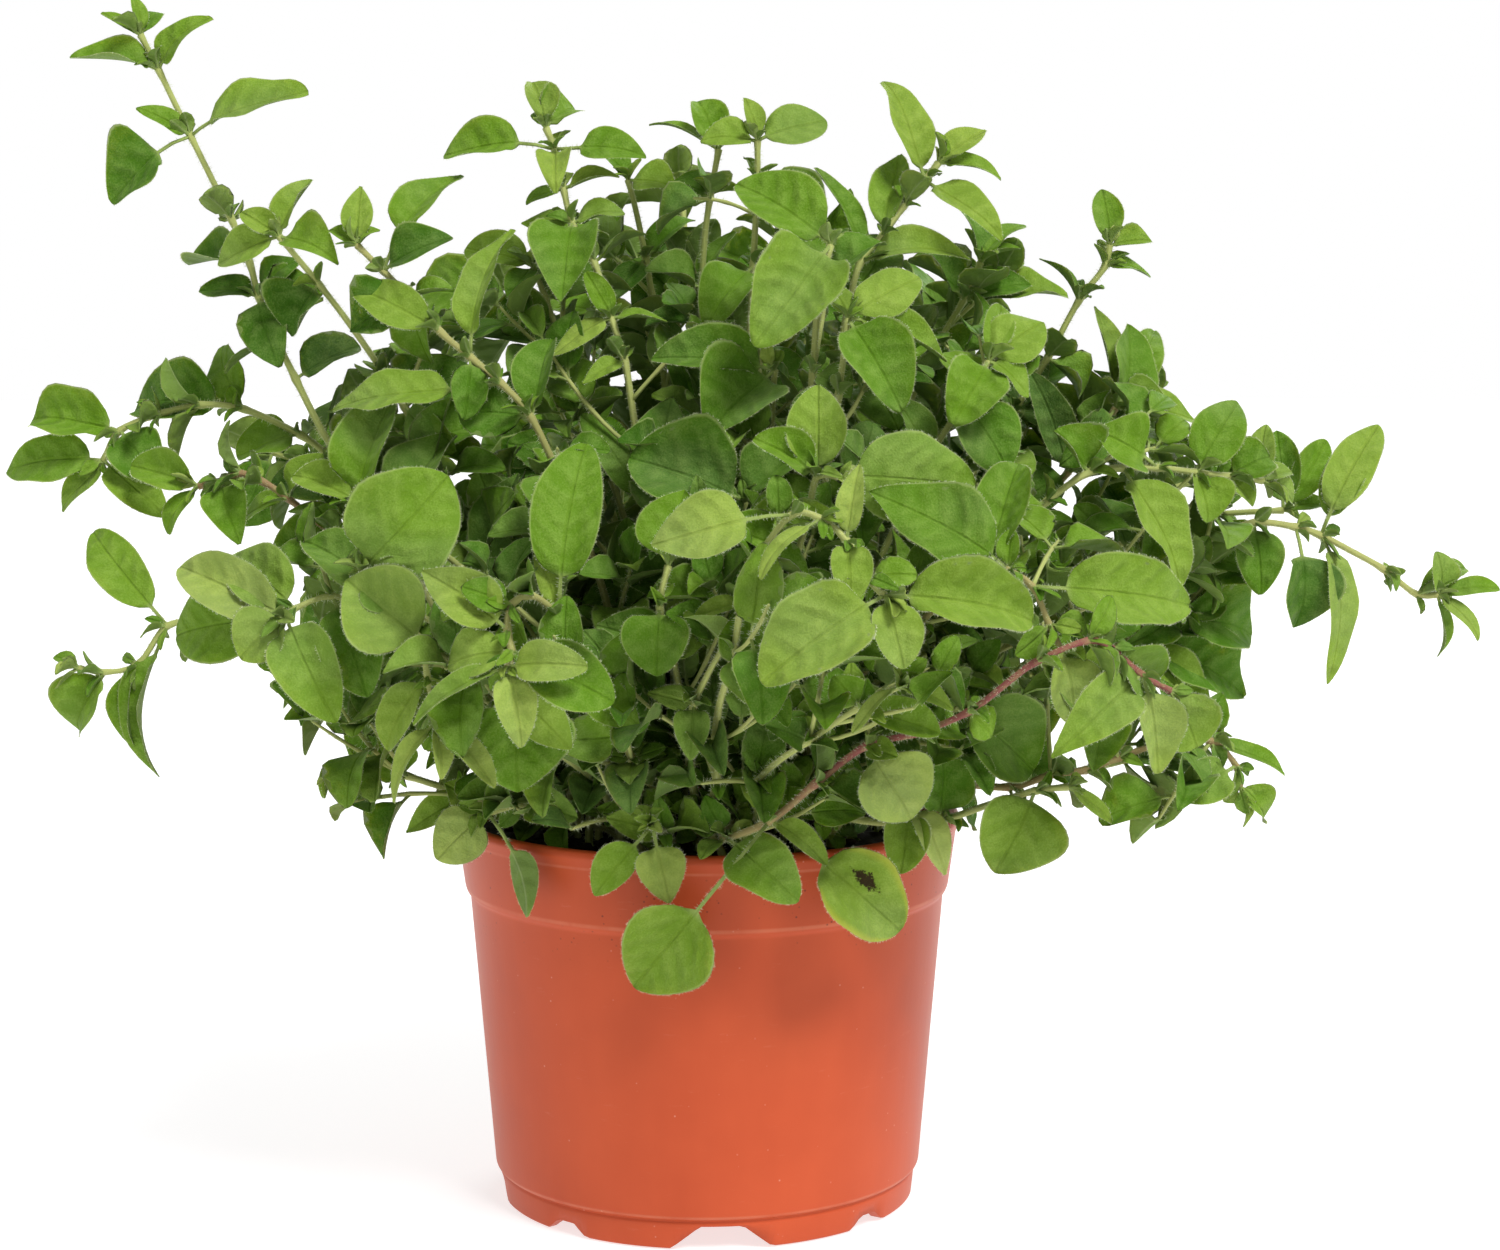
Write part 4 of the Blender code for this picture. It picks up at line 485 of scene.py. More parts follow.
def lay_paths(routes):
    """Stem paths as point lists, the first point under the soil, with their nodes' numbers."""
    wanted = []
    for route in routes:
        lean = route[0] * 0.5 + route[-1] * 0.12
        foot = Vector((lean.x, lean.y))
        if foot.length > WANTED_RADIUS:
            foot *= WANTED_RADIUS / foot.length
        wanted.append(foot)
    feet = spread_feet(wanted)
    paths = []
    for foot, route in zip(feet, routes):
        ground = soil_height(foot.x, foot.y)
        low = Vector((foot.x, foot.y, ground - ROOT_DEPTH + 0.3))
        rise = Vector((foot.x, foot.y, ground + 1.5))
        ends = [rise] + list(route)
        points = [low, rise]
        nodes = []
        for k in range(len(ends) - 1):
            p0 = ends[k - 1] if k else rise - Vector((0, 0, 8))
            p3 = ends[k + 2] if k + 2 < len(ends) else 2.0 * ends[k + 1] - ends[k]
            count = max(1, round((ends[k + 1] - ends[k]).length / PATH_STEP))
            for m in range(1, count + 1):
                points.append(between(p0, ends[k], ends[k + 1], p3, m / count))
            nodes.append(len(points) - 1)
        paths.append((points, nodes))
    return paths


def part_stems(paths):
    """Ease crossing stems apart, and lift them off the soil and the rim."""
    for _ in range(60):
        rows = []
        for i, (points, _nodes) in enumerate(paths):
            for k in range(1, len(points) - 1):
                for m in range(4):
                    rows.append((points[k].lerp(points[k + 1], m / 4.0), i, k, m / 4.0))
        tree = KDTree(len(rows))
        for n, row in enumerate(rows):
            tree.insert(row[0], n)
        tree.balance()
        moves = [[Vector() for _ in points] for points, _nodes in paths]
        for n, (spot, i, k, t) in enumerate(rows):
            for other, m, far in tree.find_range(spot, STEM_SPACING):
                if rows[m][1] == i:
                    continue
                way = (spot - other) / far if far > 1e-5 else Vector((0.0, 1.0, 0.0))
                push = way * (STEM_SPACING - far) * 0.3
                for at, share in ((k, 1.0 - t), (k + 1, t)):
                    if share * push.length > moves[i][at].length:
                        moves[i][at] = push * share
        for (points, _nodes), shift in zip(paths, moves):
            for k in range(2, len(points)):
                points[k] += shift[k]
                clear_of_pot(points[k])


def clear_of_pot(p):
    """Lift a stem point that runs too low over the soil or the rim."""
    r = math.hypot(p.x, p.y)
    if r < SOIL_SPAN:
        p.z = max(p.z, soil_height(p.x, p.y) + STEM_LIFT)
    elif r < RIM_RADIUS + 2.0 * STEM_LIFT:
        p.z = max(p.z, POT_HEIGHT + STEM_LIFT)


def leaf(at, base, tip, width, face, tone, stalk=STALK, plain=False):
    """A leaf at a stem point; plain ones are not listed one by one and get a coarser mesh."""
    return {"at": at, "base": base, "tip": tip, "width": width, "face": face, "tone": tone,
            "stalk": stalk, "plain": plain}


def young_leaf(at, base, way, size, share, face, tone, stalk):
    """A plain leaf of the given size along way, its width a share of that."""
    return leaf(at, base, base + way * size, size * share, face, tone, stalk, True)


def branch_way(along, sideways, spread, lift=None):
    """The way of a leaf that leaves its stem sideways at an angle of spread radians."""
    way = along * math.cos(spread) + sideways * math.sin(spread)
    if lift is not None:
        way.z += lift
        way.normalize()
    return way


def dome_front(across, up):
    """How far the rounded head of the plant bulges towards the eye at this place."""
    inside = 1.0 - (across / HEAD_WIDE) ** 2 - ((up - HEAD_HEIGHT) / HEAD_TALL) ** 2
    return HEAD_DEEP * math.sqrt(max(0.03, inside))


def hand_leaf(points, nodes, spec):
    """The leaf that a spec asks for, leaning with the head's rounded front."""
    at, across, up, lean, width, roll, tone, stalk = (*spec, STALK)[:8]
    base = points[nodes[at]]
    base_across, base_up = shown_at(base)
    fall = dome_front(across, up) - dome_front(base_across, base_up)
    reach = math.hypot(across - base_across, up - base_up)
    fall = max(-STEEPEST * reach, min(STEEPEST * reach, fall))
    tip = seen(across, up, -base.y + lean + fall)
    along = (tip - base).normalized()
    square_on = square_to(along, (EYE - base).normalized())
    dome = Vector((base.x / HEAD_WIDE, base.y / HEAD_DEEP, (base.z - HEAD_HEIGHT) / HEAD_TALL)).normalized()
    face = square_to(along, square_on * 0.8 + dome * 0.5)
    width /= max(0.8, face.dot(square_on))
    side = along.cross(face)
    if side.z < 0.0:
        side = -side
    turn = math.radians(roll)
    face = face * math.cos(turn) + side * math.sin(turn)
    return leaf(nodes[at], base, tip, width, face, tone, stalk)


def blade_rings(lf, grow, start):
    """Lens-shaped cross-sections of a leaf, four corners each: right, upper, left, under."""
    base, tip = lf["base"], lf["tip"]
    along = tip - base
    length = along.length
    along = along / length
    face = square_to(along, lf["face"])
    side = along.cross(face)
    half = 0.5 * lf["width"]
    s = lf["stalk"]
    shares = [(start, STALK_HALF + 0.5 * start * half)]
    if s > 0.18:
        shares.append((max(s, start + 0.05), STALK_HALF))
    shares.append((s + (1.0 - s) * 0.42, half))
    if not lf["plain"]:
        shares.append((s + (1.0 - s) * 0.76, half * 0.70))
    rings = []
    for share, reach in shares:
        bow = (0.14 if lf["plain"] else 0.22) * share * (1.0 - share) * length
        mid = base + along * (share * length) + face * bow
        lift = face * (reach * FOLD)
        reach += grow
        rings.append((mid + side * reach + lift, mid + face * (UPPER_SKIN + grow),
                      mid - side * reach + lift, mid - face * (LEAF_KEEL + grow)))
    return rings, tip + along * grow


def tube_faces(rings):
    """Quads between rings of four corners each."""
    return [(n + i, n + (i + 1) % 4, n + 4 + (i + 1) % 4, n + 4 + i)
            for n in range(0, 4 * (rings - 1), 4) for i in range(4)]


def blade_hull(lf, grow, start):
    """A leaf's outline as a closed hull with a pointed tip."""
    rings, tip = blade_rings(lf, grow, start)
    verts = [v for ring in rings for v in ring] + [tip]
    last = 4 * (len(rings) - 1)
    ends = [(last + k, last + (k + 1) % 4, len(verts) - 1) for k in range(4)]
    return verts, [(3, 2, 1, 0)] + tube_faces(len(rings)) + ends


def square_to(along, toward):
    """The unit vector nearest to toward that is square to along."""
    n = toward - along * toward.dot(along)
    if n.length < 1e-4:
        n = along.orthogonal()
    return n.normalized()


def frames(points):
    """For every path point the stem's direction and the two normals of its square section."""
    out = []
    u = None
    for k, p in enumerate(points):
        back = points[max(k - 1, 0)]
        ahead = points[min(k + 1, len(points) - 1)]
        along = (ahead - back).normalized()
        u = square_to(along, u if u is not None else Vector((1.0, 0.0, 0.0)))
        out.append((along, u, along.cross(u)))
    return out


class Crowd:
    """Everything placed so far, so that shoots and leaves keep clear of each other."""

    def __init__(self, room=30000):
        self.count = 0
        self.low, self.high = np.zeros((room, 3)), np.zeros((room, 3))
        self.owner, self.whole = np.zeros(room, int), np.zeros(room, bool)
        self.trees = []

    def add(self, owner, kind, verts, faces):
        """kind "all" is what other shoots keep clear of, kind "own" what its own shoot does."""
        n = self.count
        self.low[n], self.high[n] = extent(verts)
        self.owner[n], self.whole[n] = owner, kind == "all"
        self.trees.append(BVHTree.FromPolygons(verts, faces))
        self.count += 1

    def free(self, owner, outer, inner):
        """outer must miss all other shoots, inner (a blade without its foot) its own shoot."""
        low, high = extent(outer[0])
        n = self.count
        near = np.all((self.low[:n] <= high) & (self.high[:n] >= low), axis=1)
        near &= (self.owner[:n] == owner) != self.whole[:n]
        trees = [None, None]
        for k in np.nonzero(near)[0]:
            own = self.owner[k] == owner
            if trees[own] is None:
                trees[own] = BVHTree.FromPolygons(*(inner if own else outer))
            if trees[own].overlap(self.trees[k]):
                return False
        return True


def extent(verts):
    low = [min(v[i] for v in verts) for i in range(3)]
    high = [max(v[i] for v in verts) for i in range(3)]
    return low, high


def stem_hull(points, owner, crowd):
    """A stem's stretches as square bars: thick ones for other shoots, thin ones for its own."""
    for k in range(1, len(points) - 1):
        a, b = points[k], points[k + 1]
        along = (b - a).normalized()
        for kind, radius, end in (("all", STEM_FOOT_RADIUS + LEAF_CLEAR, 0.5), ("own", 0.8, -0.2)):
            u = along.orthogonal().normalized() * radius
            v = along.cross(u)
            verts = [p + q for p in (a - along * end, b + along * end) for q in (u, v, -u, -v)]
            crowd.add(owner, kind, verts, tube_faces(2) + [(3, 2, 1, 0), (4, 5, 6, 7)])


def pot_hull(crowd):
    """The pot and the soil with a little air around them."""
    ring = [(0.0, SOIL_CROWN + 1.2), (SOIL_SPAN + 1.0, SOIL_EDGE + 1.2),
            (LIP_INNER_RADIUS + 0.1, POT_HEIGHT + 0.8), (RIM_RADIUS + 1.0, POT_HEIGHT + 0.8),
            (RIM_RADIUS + 1.2, BAND_LOW), (BAND_LOW_RADIUS, BAND_LOW - 1.0), (WALL_FOOT_RADIUS + 0.8, 0.0)]
    steps, n = 48, len(ring)
    verts, faces = [], []
    for k in range(steps):
        a = 2.0 * math.pi * k / steps
        verts += [Vector((r * math.cos(a), r * math.sin(a), z)) for r, z in ring]
        m = (k + 1) % steps
        faces += [(k * n + i, m * n + i, m * n + i + 1, k * n + i + 1) for i in range(n - 1)]
    crowd.add(-1, "all", verts, faces)


def place(lf, owner, crowd, tries, air=LEAF_CLEAR):
    """The leaf turned, leaned or shrunk by the first try that finds room, or None."""
    for turn, lean, size in tries:
        base = lf["base"]
        along = lf["tip"] - base
        tip = base + along * size + Vector((0.0, -lean, 0.0))
        new = dict(lf)
        axis = (tip - base).normalized()
        face = square_to(axis, lf["face"])
        side = axis.cross(face)
        new["tip"] = tip
        new["width"] = lf["width"] * size
        new["face"] = face * math.cos(math.radians(turn)) + side * math.sin(math.radians(turn))
        outer = blade_hull(new, air, 0.0)
        inner = blade_hull(new, OWN_CLEAR, OWN_START)
        if crowd.free(owner, outer, inner):
            crowd.add(owner, "all", *outer)
            crowd.add(owner, "own", *inner)
            return new
    return None


# Tries for placing a leaf: degrees of turn, mm of lean to the eye, share of its size.
HAND_TRIES = ([(t, 0, 1.0) for t in (0, 10, -10, 20, -20)]
              + [(t, d, 1.0) for d in (3, -3, 6, -6, 9, -9, 13, -13) for t in (0, 16, -16, 32, -32)]
              + [(t, d, s) for s in (0.9, 0.8, 0.7) for d in (0, 4, -4, 9, -9)
                 for t in (0, 20, -20, 40, -40)])
SELF_TRIES = [(t, d, s) for s in (1.0, 0.85, 0.72) for d in (0, 4, -4)
              for t in (0, 22, -22, 45, -45)]
TWIG_TRIES = SELF_TRIES[:20]
SMALL_TRIES = SELF_TRIES[:15]


def self_pairs(points, nodes, taken, dice, far):
    """Opposite leaf pairs, each pair a quarter turn from the last, where no leaf was listed."""
    spots = [n for k, n in enumerate(nodes) if k not in taken]
    first = nodes[min(taken)] if taken else len(points) - 1
    spots += [k for k in range(4, first - 1, 2) if all(abs(k - n) > 1 for n in nodes)]
    out = []
    turned_frames = frames(points)
    for rank, at in enumerate(sorted(set(spots))):
        along, u, v = turned_frames[at]
        sideways, crossways = (u, v) if rank % 2 else (v, u)
        share = at / max(1, len(points) - 1)
        size = (25.0 if far else 20.0) * (1.0 - 0.42 * share) * dice.uniform(0.82, 1.12)
        ways = [(sideways, 1.0), (-sideways, 1.0)]
        if far:
            ways += [(crossways, 0.62), (-crossways, 0.62)]
        for way_out, part in ways:
            spread = math.radians(dice.uniform(52.0, 78.0) * (0.75 if part < 1.0 else 1.0))
            way = branch_way(along, way_out, spread, dice.uniform(-0.30, 0.10))
            base = points[at]
            outward = Vector((base.x, base.y, 0.35 * (base.z - 90.0))).normalized()
            face = along * 0.45 + Vector((0.0, 0.0, 0.55)) + outward * 0.5
            tip = base + way * size * part
            tone = max(-0.9, min(0.7, 0.9 * share - 0.75 + 0.004 * (tip.z - 150.0)))
            out.append(leaf(at, base, tip, size * part * dice.uniform(0.62, 0.80), face, tone, 0.14, True))
    return out


class Front:
    """The listed leaves as the eye in front sees them: what is added stays behind these."""

    def __init__(self, leaves):
        middles = [lf["base"].lerp(lf["tip"], t) for group in leaves for lf in group for t in (0.4, 0.8)]
        self.depth = [p.y for p in middles]
        self.tree = KDTree(len(middles))
        for n, p in enumerate(middles):
            self.tree.insert(shown(p), n)
        self.tree.balance()

    def hides(self, spot):
        """Whether a spot is in the head's circle and behind a listed leaf that shows near it."""
        place = shown(spot)
        aside, above = place.x - HEAD_MIDDLE[0], place.y - HEAD_MIDDLE[1]
        if (aside / HEAD_REACH) ** 2 + (above / HEAD_REACH) ** 2 > 1.0:
            return False
        found = self.tree.find_range(place, SCREEN_REACH)
        return any(spot.y > self.depth[n] + SCREEN_GAP for _place, n, _far in found)


def twig_hull(path):
    """A thin open tube along a twig, for keeping it clear of everything else."""
    verts = [p + q * TWIG_RADIUS * 1.5
             for p, (_along, u, v) in zip(path, frames(path)) for q in (u, v, -u, -v)]
    return verts, tube_faces(len(path))


def side_twig(points, at, dice):
    """A short leafy side shoot: its path and its leaves, whose "at" counts along the twig."""
    along = (points[at + 1] - points[at - 1]).normalized()
    start = points[at]
    outward = Vector((start.x * 0.6, start.y, 0.0)).normalized()
    spin = dice.uniform(0.0, FULL_TURN)
    loose = Vector((math.cos(spin), math.sin(spin), dice.uniform(-0.2, 0.9)))
    way = (along * 0.5 + outward * 0.35 + loose).normalized()
    bend = Vector((0.0, 0.0, dice.uniform(-0.25, 0.5)))
    length = dice.uniform(14.0, 32.0)
    path = [start + (way * t + bend * t * t) * length for t in (0.0, 0.25, 0.5, 0.75, 1.0)]
    out = []
    for rank, k in enumerate((2, 3, 4)):
        ahead, u, v = frames(path)[k]
        sideways = u if rank % 2 else v
        size = dice.uniform(0.85, 1.15) * (19.0, 15.5, 11.0)[rank]
        for sign in (1.0, -1.0):
            spread = math.radians(dice.uniform(50.0, 80.0) - 12.0 * rank)
            reach = branch_way(ahead, sideways * sign, spread, dice.uniform(-0.3, 0.15))
            face = ahead * 0.3 + outward * 0.5 + Vector((0.0, 0.0, 0.7))
            out.append(young_leaf(k, path[k], reach, size, dice.uniform(0.6, 0.8), face,
                                  dice.uniform(-0.7, 0.1), 0.16))
    return path, out


def fill_in(paths, front, crowd, dice):
    """Side twigs wherever there is room behind the listed front; returns them shoot by shoot."""
    twigs = [[] for _ in paths]
    for highest in TWIG_ROUNDS:
        for i, (points, _nodes) in enumerate(paths):
            for at in range(2, min(highest, len(points) - 2)):
                path, held = side_twig(points, at, dice)
                if not all(front.hides(p) for p in path[2:]):
                    continue
                hull = twig_hull(path[1:])
                if not crowd.free(i, hull, hull):
                    continue
                hidden = [lf for lf in held
                          if front.hides(lf["base"].lerp(lf["tip"], 0.5)) and front.hides(lf["tip"])]
                tried = [place(lf, i, crowd, TWIG_TRIES, OWN_CLEAR) for lf in hidden]
                kept = [lf for lf in tried if lf is not None]
                if kept:
                    crowd.add(i, "all", *hull)
                    crowd.add(i, "own", *hull)
                    twigs[i].append((path, kept))
    return twigs


def low_leaves(points, dice):
    """Small leaves on the lowest stretch of a stem, which hide the soil and the stems' feet."""
    out = []
    turned_frames = frames(points)
    for at in LOW_NODES:
        along, u, v = turned_frames[at]
        for sideways in (u, -u, v, -v):
            size = dice.uniform(5.5, 11.5)
            way = branch_way(along, sideways, math.radians(dice.uniform(55.0, 85.0)))
            face = along * 0.5 + Vector((0.0, -0.5, 0.6))
            out.append(young_leaf(at, points[at], way, size, dice.uniform(0.66, 0.86), face,
                                  dice.uniform(-0.55, 0.35), 0.22))
    return out


def buds(points, held, dice):
    """Small young leaves: a bud on both sides of every leaf pair and a tuft on the stem's tip."""
    out = []
    turned_frames = frames(points)
    last = len(points) - 1
    for rank, at in enumerate(sorted({lf["at"] for lf in held} | {last})):
        along, u, v = turned_frames[at]
        sideways, other = (u, v) if rank % 2 else (v, u)
        rows = [(sign * sideways, swing * other, 42.0, dice.uniform(3.6, 7.5))
                for sign in (1, -1) for swing in (1, -1)]
        if at == last:
            rows += [(sign * sideways, other, 24.0, dice.uniform(4.0, 6.5)) for sign in (1, -1)]
        for out_way, cross_way, spread, size in rows:
            angle = math.radians(spread + dice.uniform(-10.0, 14.0))
            way = branch_way(along, (out_way * 0.85 + cross_way * 0.5).normalized(), angle)
            face = along * 0.5 - out_way * 0.2 + Vector((0.0, -0.25, 0.6))
            tone = dice.uniform(-0.1, 0.7) if at == last else dice.uniform(-0.5, 0.35)
            out.append(young_leaf(at, points[at], way, size, dice.uniform(0.48, 0.64), face, tone, 0.2))
    return out


def lay_out():
    """All shoots: (stem points, leaves, side twigs, tone)."""
    dice = random.Random(26)
    routes = [[seen(*p) for p in stem] for stem, _leaves in HAND_LAID]
    routes += [far_route(*spec) for spec in FAR_SIDE]
    paths = lay_paths(routes)
    part_stems(paths)
    crowd = Crowd()
    pot_hull(crowd)
    for i, (points, _nodes) in enumerate(paths):
        stem_hull(points, i, crowd)
    leaves = [[] for _ in paths]

    def settle(i, wanted, tries, air=LEAF_CLEAR):
        """Place a leaf on shoot i where it finds room; says whether it did."""
        done = place(wanted, i, crowd, tries, air)
        if done is not None:
            leaves[i].append(done)
        return done is not None

    missed = []
    for i, (_stem, specs) in enumerate(HAND_LAID):
        for spec in specs:
            wanted = hand_leaf(*paths[i], spec)
            wanted["soiled"] = (i, spec[1], spec[2]) == SOILED
            if not settle(i, wanted, HAND_TRIES):
                missed.append((i, wanted))
    for i, (points, nodes) in enumerate(paths):
        hand = i < len(HAND_LAID)
        taken = {spec[0] for spec in HAND_LAID[i][1]} if hand else set()
        for lf in self_pairs(points, nodes, taken, dice, not hand):
            settle(i, lf, SELF_TRIES)
    for i, wanted in missed:
        settle(i, wanted, HAND_TRIES, LAST_CLEAR)
    dice = random.Random(57)
    twigs = fill_in(paths, Front(leaves[:len(HAND_LAID)]), crowd, dice)
    for i, (points, _nodes) in enumerate(paths):
        for lf in buds(points, leaves[i], dice) + low_leaves(points, dice):
            settle(i, lf, SMALL_TRIES, SMALL_CLEAR)
    dice = random.Random(73)
    for turn in range(LATE_ROUNDS):
        for spot in gap_spots(leaves, twigs) if turn else LATE_SPOTS:
            i, wanted = late_leaf(paths, spot, dice)
            settle(i, wanted, HAND_TRIES, SMALL_CLEAR)
    tones = [sum(spec[6] for spec in specs) / len(specs) for _stem, specs in HAND_LAID]
    tones += [-0.2] * len(FAR_SIDE)
    return list(zip([points for points, _nodes in paths], leaves, twigs, tones))


def gap_spots(leaves, twigs):
    """Places in the head where the eye in front sees past every leaf."""
    held = [lf for group in leaves for lf in group]
    held += [lf for group in twigs for _path, pair in group for lf in pair]
    verts = []
    for lf in held:
        along = (lf["tip"] - lf["base"]).normalized()
        side = along.cross(square_to(along, lf["face"])) * lf["width"] * DIAMOND_HALF
        middle = lf["base"].lerp(lf["tip"], DIAMOND_WIDEST)
        verts += [lf["base"], middle + side, lf["tip"], middle - side]
    tree = BVHTree.FromPolygons(verts, [range(n, n + 4) for n in range(0, len(verts), 4)])
    head = Vector((*HEAD_MIDDLE, 0.0))
    reach = HEAD_REACH - GAP_EDGE
    span = int(reach / GAP_STEP)
    spots = []
    for row in range(-span, span + 1):
        for column in range(-span, span + 1):
            spot = head + Vector((column, row, 0.0)) * GAP_STEP
            inside = (spot - head).length < reach and spot.y > GAP_LOWEST
            if not inside or any((spot - other).length < GAP_CLEAR for other in spots):
                continue
            if tree.ray_cast(EYE, seen(spot.x, spot.y, 0.0) - EYE)[0] is None:
                spots.append(spot)
    return [(spot.x, spot.y) for spot in spots]


def late_leaf(paths, spot, dice):
    """A leaf that shows at the spot, grown from a stem point near it, by preference at the back."""
    spot = Vector((*spot, 0.0))
    near = [(abs((shown(p) - spot).length - LATE_REACH) - LATE_BACK * p.y, i, k)
            for i, (points, _nodes) in enumerate(paths) for k, p in enumerate(points) if k > 2]
    _off, i, k = min(near)
    points = paths[i][0]
    way = spot - shown(points[k])
    tip = spot + way.normalized() * LATE_PAST
    spec = (k, tip.x, tip.y, dice.uniform(-9.0, 0.0), (way.length + LATE_PAST) * dice.uniform(0.66, 0.86),
            dice.uniform(-25.0, 25.0), dice.uniform(-0.75, -0.15))
    return i, hand_leaf(points, range(len(points)), spec) | {"plain": True}


# ---- skins: the meshes of the looks ----
class Skin:
    """Vertices, faces and marks of one piece, gathered part by part, in millimetres.

    The mark "blade" holds mm along, mm across and 1 on the upper or -1 on the under side.
    The mark "leaf" holds tone, a number that differs from leaf to leaf, and how near the margin.
    """

    def __init__(self):
        self.spots, self.blade, self.leaf = [], [], []
        self.faces, self.kinds = {4: [], 3: []}, {4: [], 3: []}
        self.count = 0

    def add(self, spots, quads, tris, blade, leaf, kind):
        spots = np.asarray(spots, float).reshape(-1, 3)
        for corners, faces in ((4, quads), (3, tris)):
            self.faces[corners] += (np.reshape(faces, (-1, corners)) + self.count).tolist()
            self.kinds[corners] += [kind] * len(faces)
        self.spots.append(spots)
        self.blade.append(np.broadcast_to(blade, spots.shape))
        self.leaf.append(np.broadcast_to(leaf, spots.shape))
        self.count += len(spots)

    def loft(self, rows, foot, tip, blade, leaf, kind):
        """A closed tube through rows of points, with a fan to foot at its start and tip at its end."""
        m, k = rows.shape[:2]
        here = np.arange(m * k).reshape(m, k)
        after = np.roll(here, -1, axis=1)
        quads = np.stack([here[:-1], after[:-1], after[1:], here[1:]], axis=2).reshape(-1, 4)
        first, last = np.full(k, m * k), np.full(k, m * k + 1)
        tris = np.concatenate([np.stack([first, after[0], here[0]], axis=1),
                               np.stack([here[-1], after[-1], last], axis=1)])

        def with_ends(mark):
            mark = np.broadcast_to(mark, rows.shape).reshape(-1, 3)
            return np.concatenate([mark, mark[:1], mark[-1:]])

        spots = np.concatenate([rows.reshape(-1, 3), [foot, tip]])
        self.add(spots, quads, tris, with_ends(blade), with_ends(leaf), kind)

    def hairs(self, roots, ways, lengths, tone, radius):
        """Flat slivers that taper from their roots."""
        n = len(roots)
        ways = ways / np.linalg.norm(ways, axis=1, keepdims=True)
        helper = np.where(np.abs(ways[:, 1:2]) < 0.8, [[0.0, 1.0, 0.0]], [[1.0, 0.0, 0.0]])
        flat = np.cross(ways, helper)
        flat *= radius / np.linalg.norm(flat, axis=1, keepdims=True)
        spots = np.stack([roots - flat, roots + flat, roots + ways * lengths[:, None]], axis=1)
        self.add(spots, [], np.arange(3 * n).reshape(n, 3), NO_MARK, (tone, 0.0, 1.0), HAIR)

    def sharpen_margins(self, mesh):
        """Part the shading of a blade's upper and under skins where they meet."""
        at_margin = np.concatenate(self.leaf)[:, 2] > 0.999
        ends = np.empty(2 * len(mesh.edges), int)
        mesh.edges.foreach_get("vertices", ends)
        sharp = mesh.attributes.new("sharp_edge", "BOOLEAN", "EDGE")
        sharp.data.foreach_set("value", at_margin[ends].reshape(-1, 2).all(axis=1))

    def piece(self, name, materials):
        """The finished object, in metres about the frame's origin."""
        mesh = bpy.data.meshes.new(name)
        mesh.from_pydata(np.concatenate(self.spots) * MM + POT_AXIS, [], self.faces[4] + self.faces[3])
        mesh.polygons.foreach_set("material_index", self.kinds[4] + self.kinds[3])
        for mark, rows in (("blade", self.blade), ("leaf", self.leaf)):
            layer = mesh.attributes.new(mark, "FLOAT_VECTOR", "POINT")
            layer.data.foreach_set("vector", np.concatenate(rows).ravel())
        self.sharpen_margins(mesh)
        mesh.shade_smooth()
        for mat in materials:
            mesh.materials.append(mat)
        ob = bpy.data.objects.new(name, mesh)
        bpy.context.scene.collection.objects.link(ob)
        return ob


def marks(grid, *values):
    """Three numbers for every point of a grid of rows and columns."""
    return np.stack([np.broadcast_to(value, grid) for value in values], axis=2)


def turned_rows(profile, steps):
    """Rows of points about the Z axis, one for each (radius, height)."""
    turns = 2.0 * np.pi * np.arange(steps) / steps
    round_way = np.stack([np.cos(turns), np.sin(turns), np.zeros(steps)], axis=1)
    return np.array([round_way * r + [0.0, 0.0, z] for r, z in profile])


# ---- leaves ----
def leaf_rows(lf, length, rows, dice):
    """Down a leaf: mm from its foot, half its width there, and 1 where it is blade."""
    stalk = lf["stalk"] * length
    round_end = dice.uniform(0.38, 0.54)
    point_end = dice.uniform(0.56, 0.90)
    u = 0.5 - 0.5 * np.cos(np.pi * np.arange(1, rows) / rows)
    outline = u ** round_end * (1.0 - u) ** point_end
    outline *= 0.5 * lf["width"] / outline.max()
    x = np.concatenate([np.array(PETIOLE_ROWS) * stalk, stalk + u * (length - stalk)])
    petiole = np.full(len(PETIOLE_ROWS), PETIOLE_RADIUS)
    reach = np.concatenate([petiole, np.maximum(outline, PETIOLE_RADIUS)])
    is_blade = np.concatenate([0.0 * petiole, np.minimum(1.0, u * 14.0)])
    return x[:, None], reach[:, None], is_blade[:, None]


def blade_relief(lf, x, t, y, v, reach, dice):
    """How far a blade's points rise from flat, and how steeply its halves fold up."""
    fold, cup = dice.triangular(0.14, 1.0, 0.48), dice.uniform(-0.26, 0.34)
    rise = fold * (np.sqrt(y * y + 0.2) - 0.45) + cup * reach * np.abs(v) ** 2.2
    rolled = dice.choice((-1.0, 1.0)) * np.sin(np.pi * np.clip(t * 1.1 - dice.uniform(0.0, 0.3), 0.0, 1.0))
    rise += max(0.0, dice.uniform(-0.5, 0.55)) * reach * np.clip(v * rolled, 0.0, 1.0) ** 2
    ripple = dice.uniform(0.04, 0.15) * 0.5 * lf["width"]
    waves = np.where(v > 0.0, np.sin(x * 0.42 + dice.uniform(0, 6.3)),
                     np.sin(x * 0.47 + dice.uniform(0, 6.3)))
    return rise + ripple * waves * v * v * np.abs(v), fold


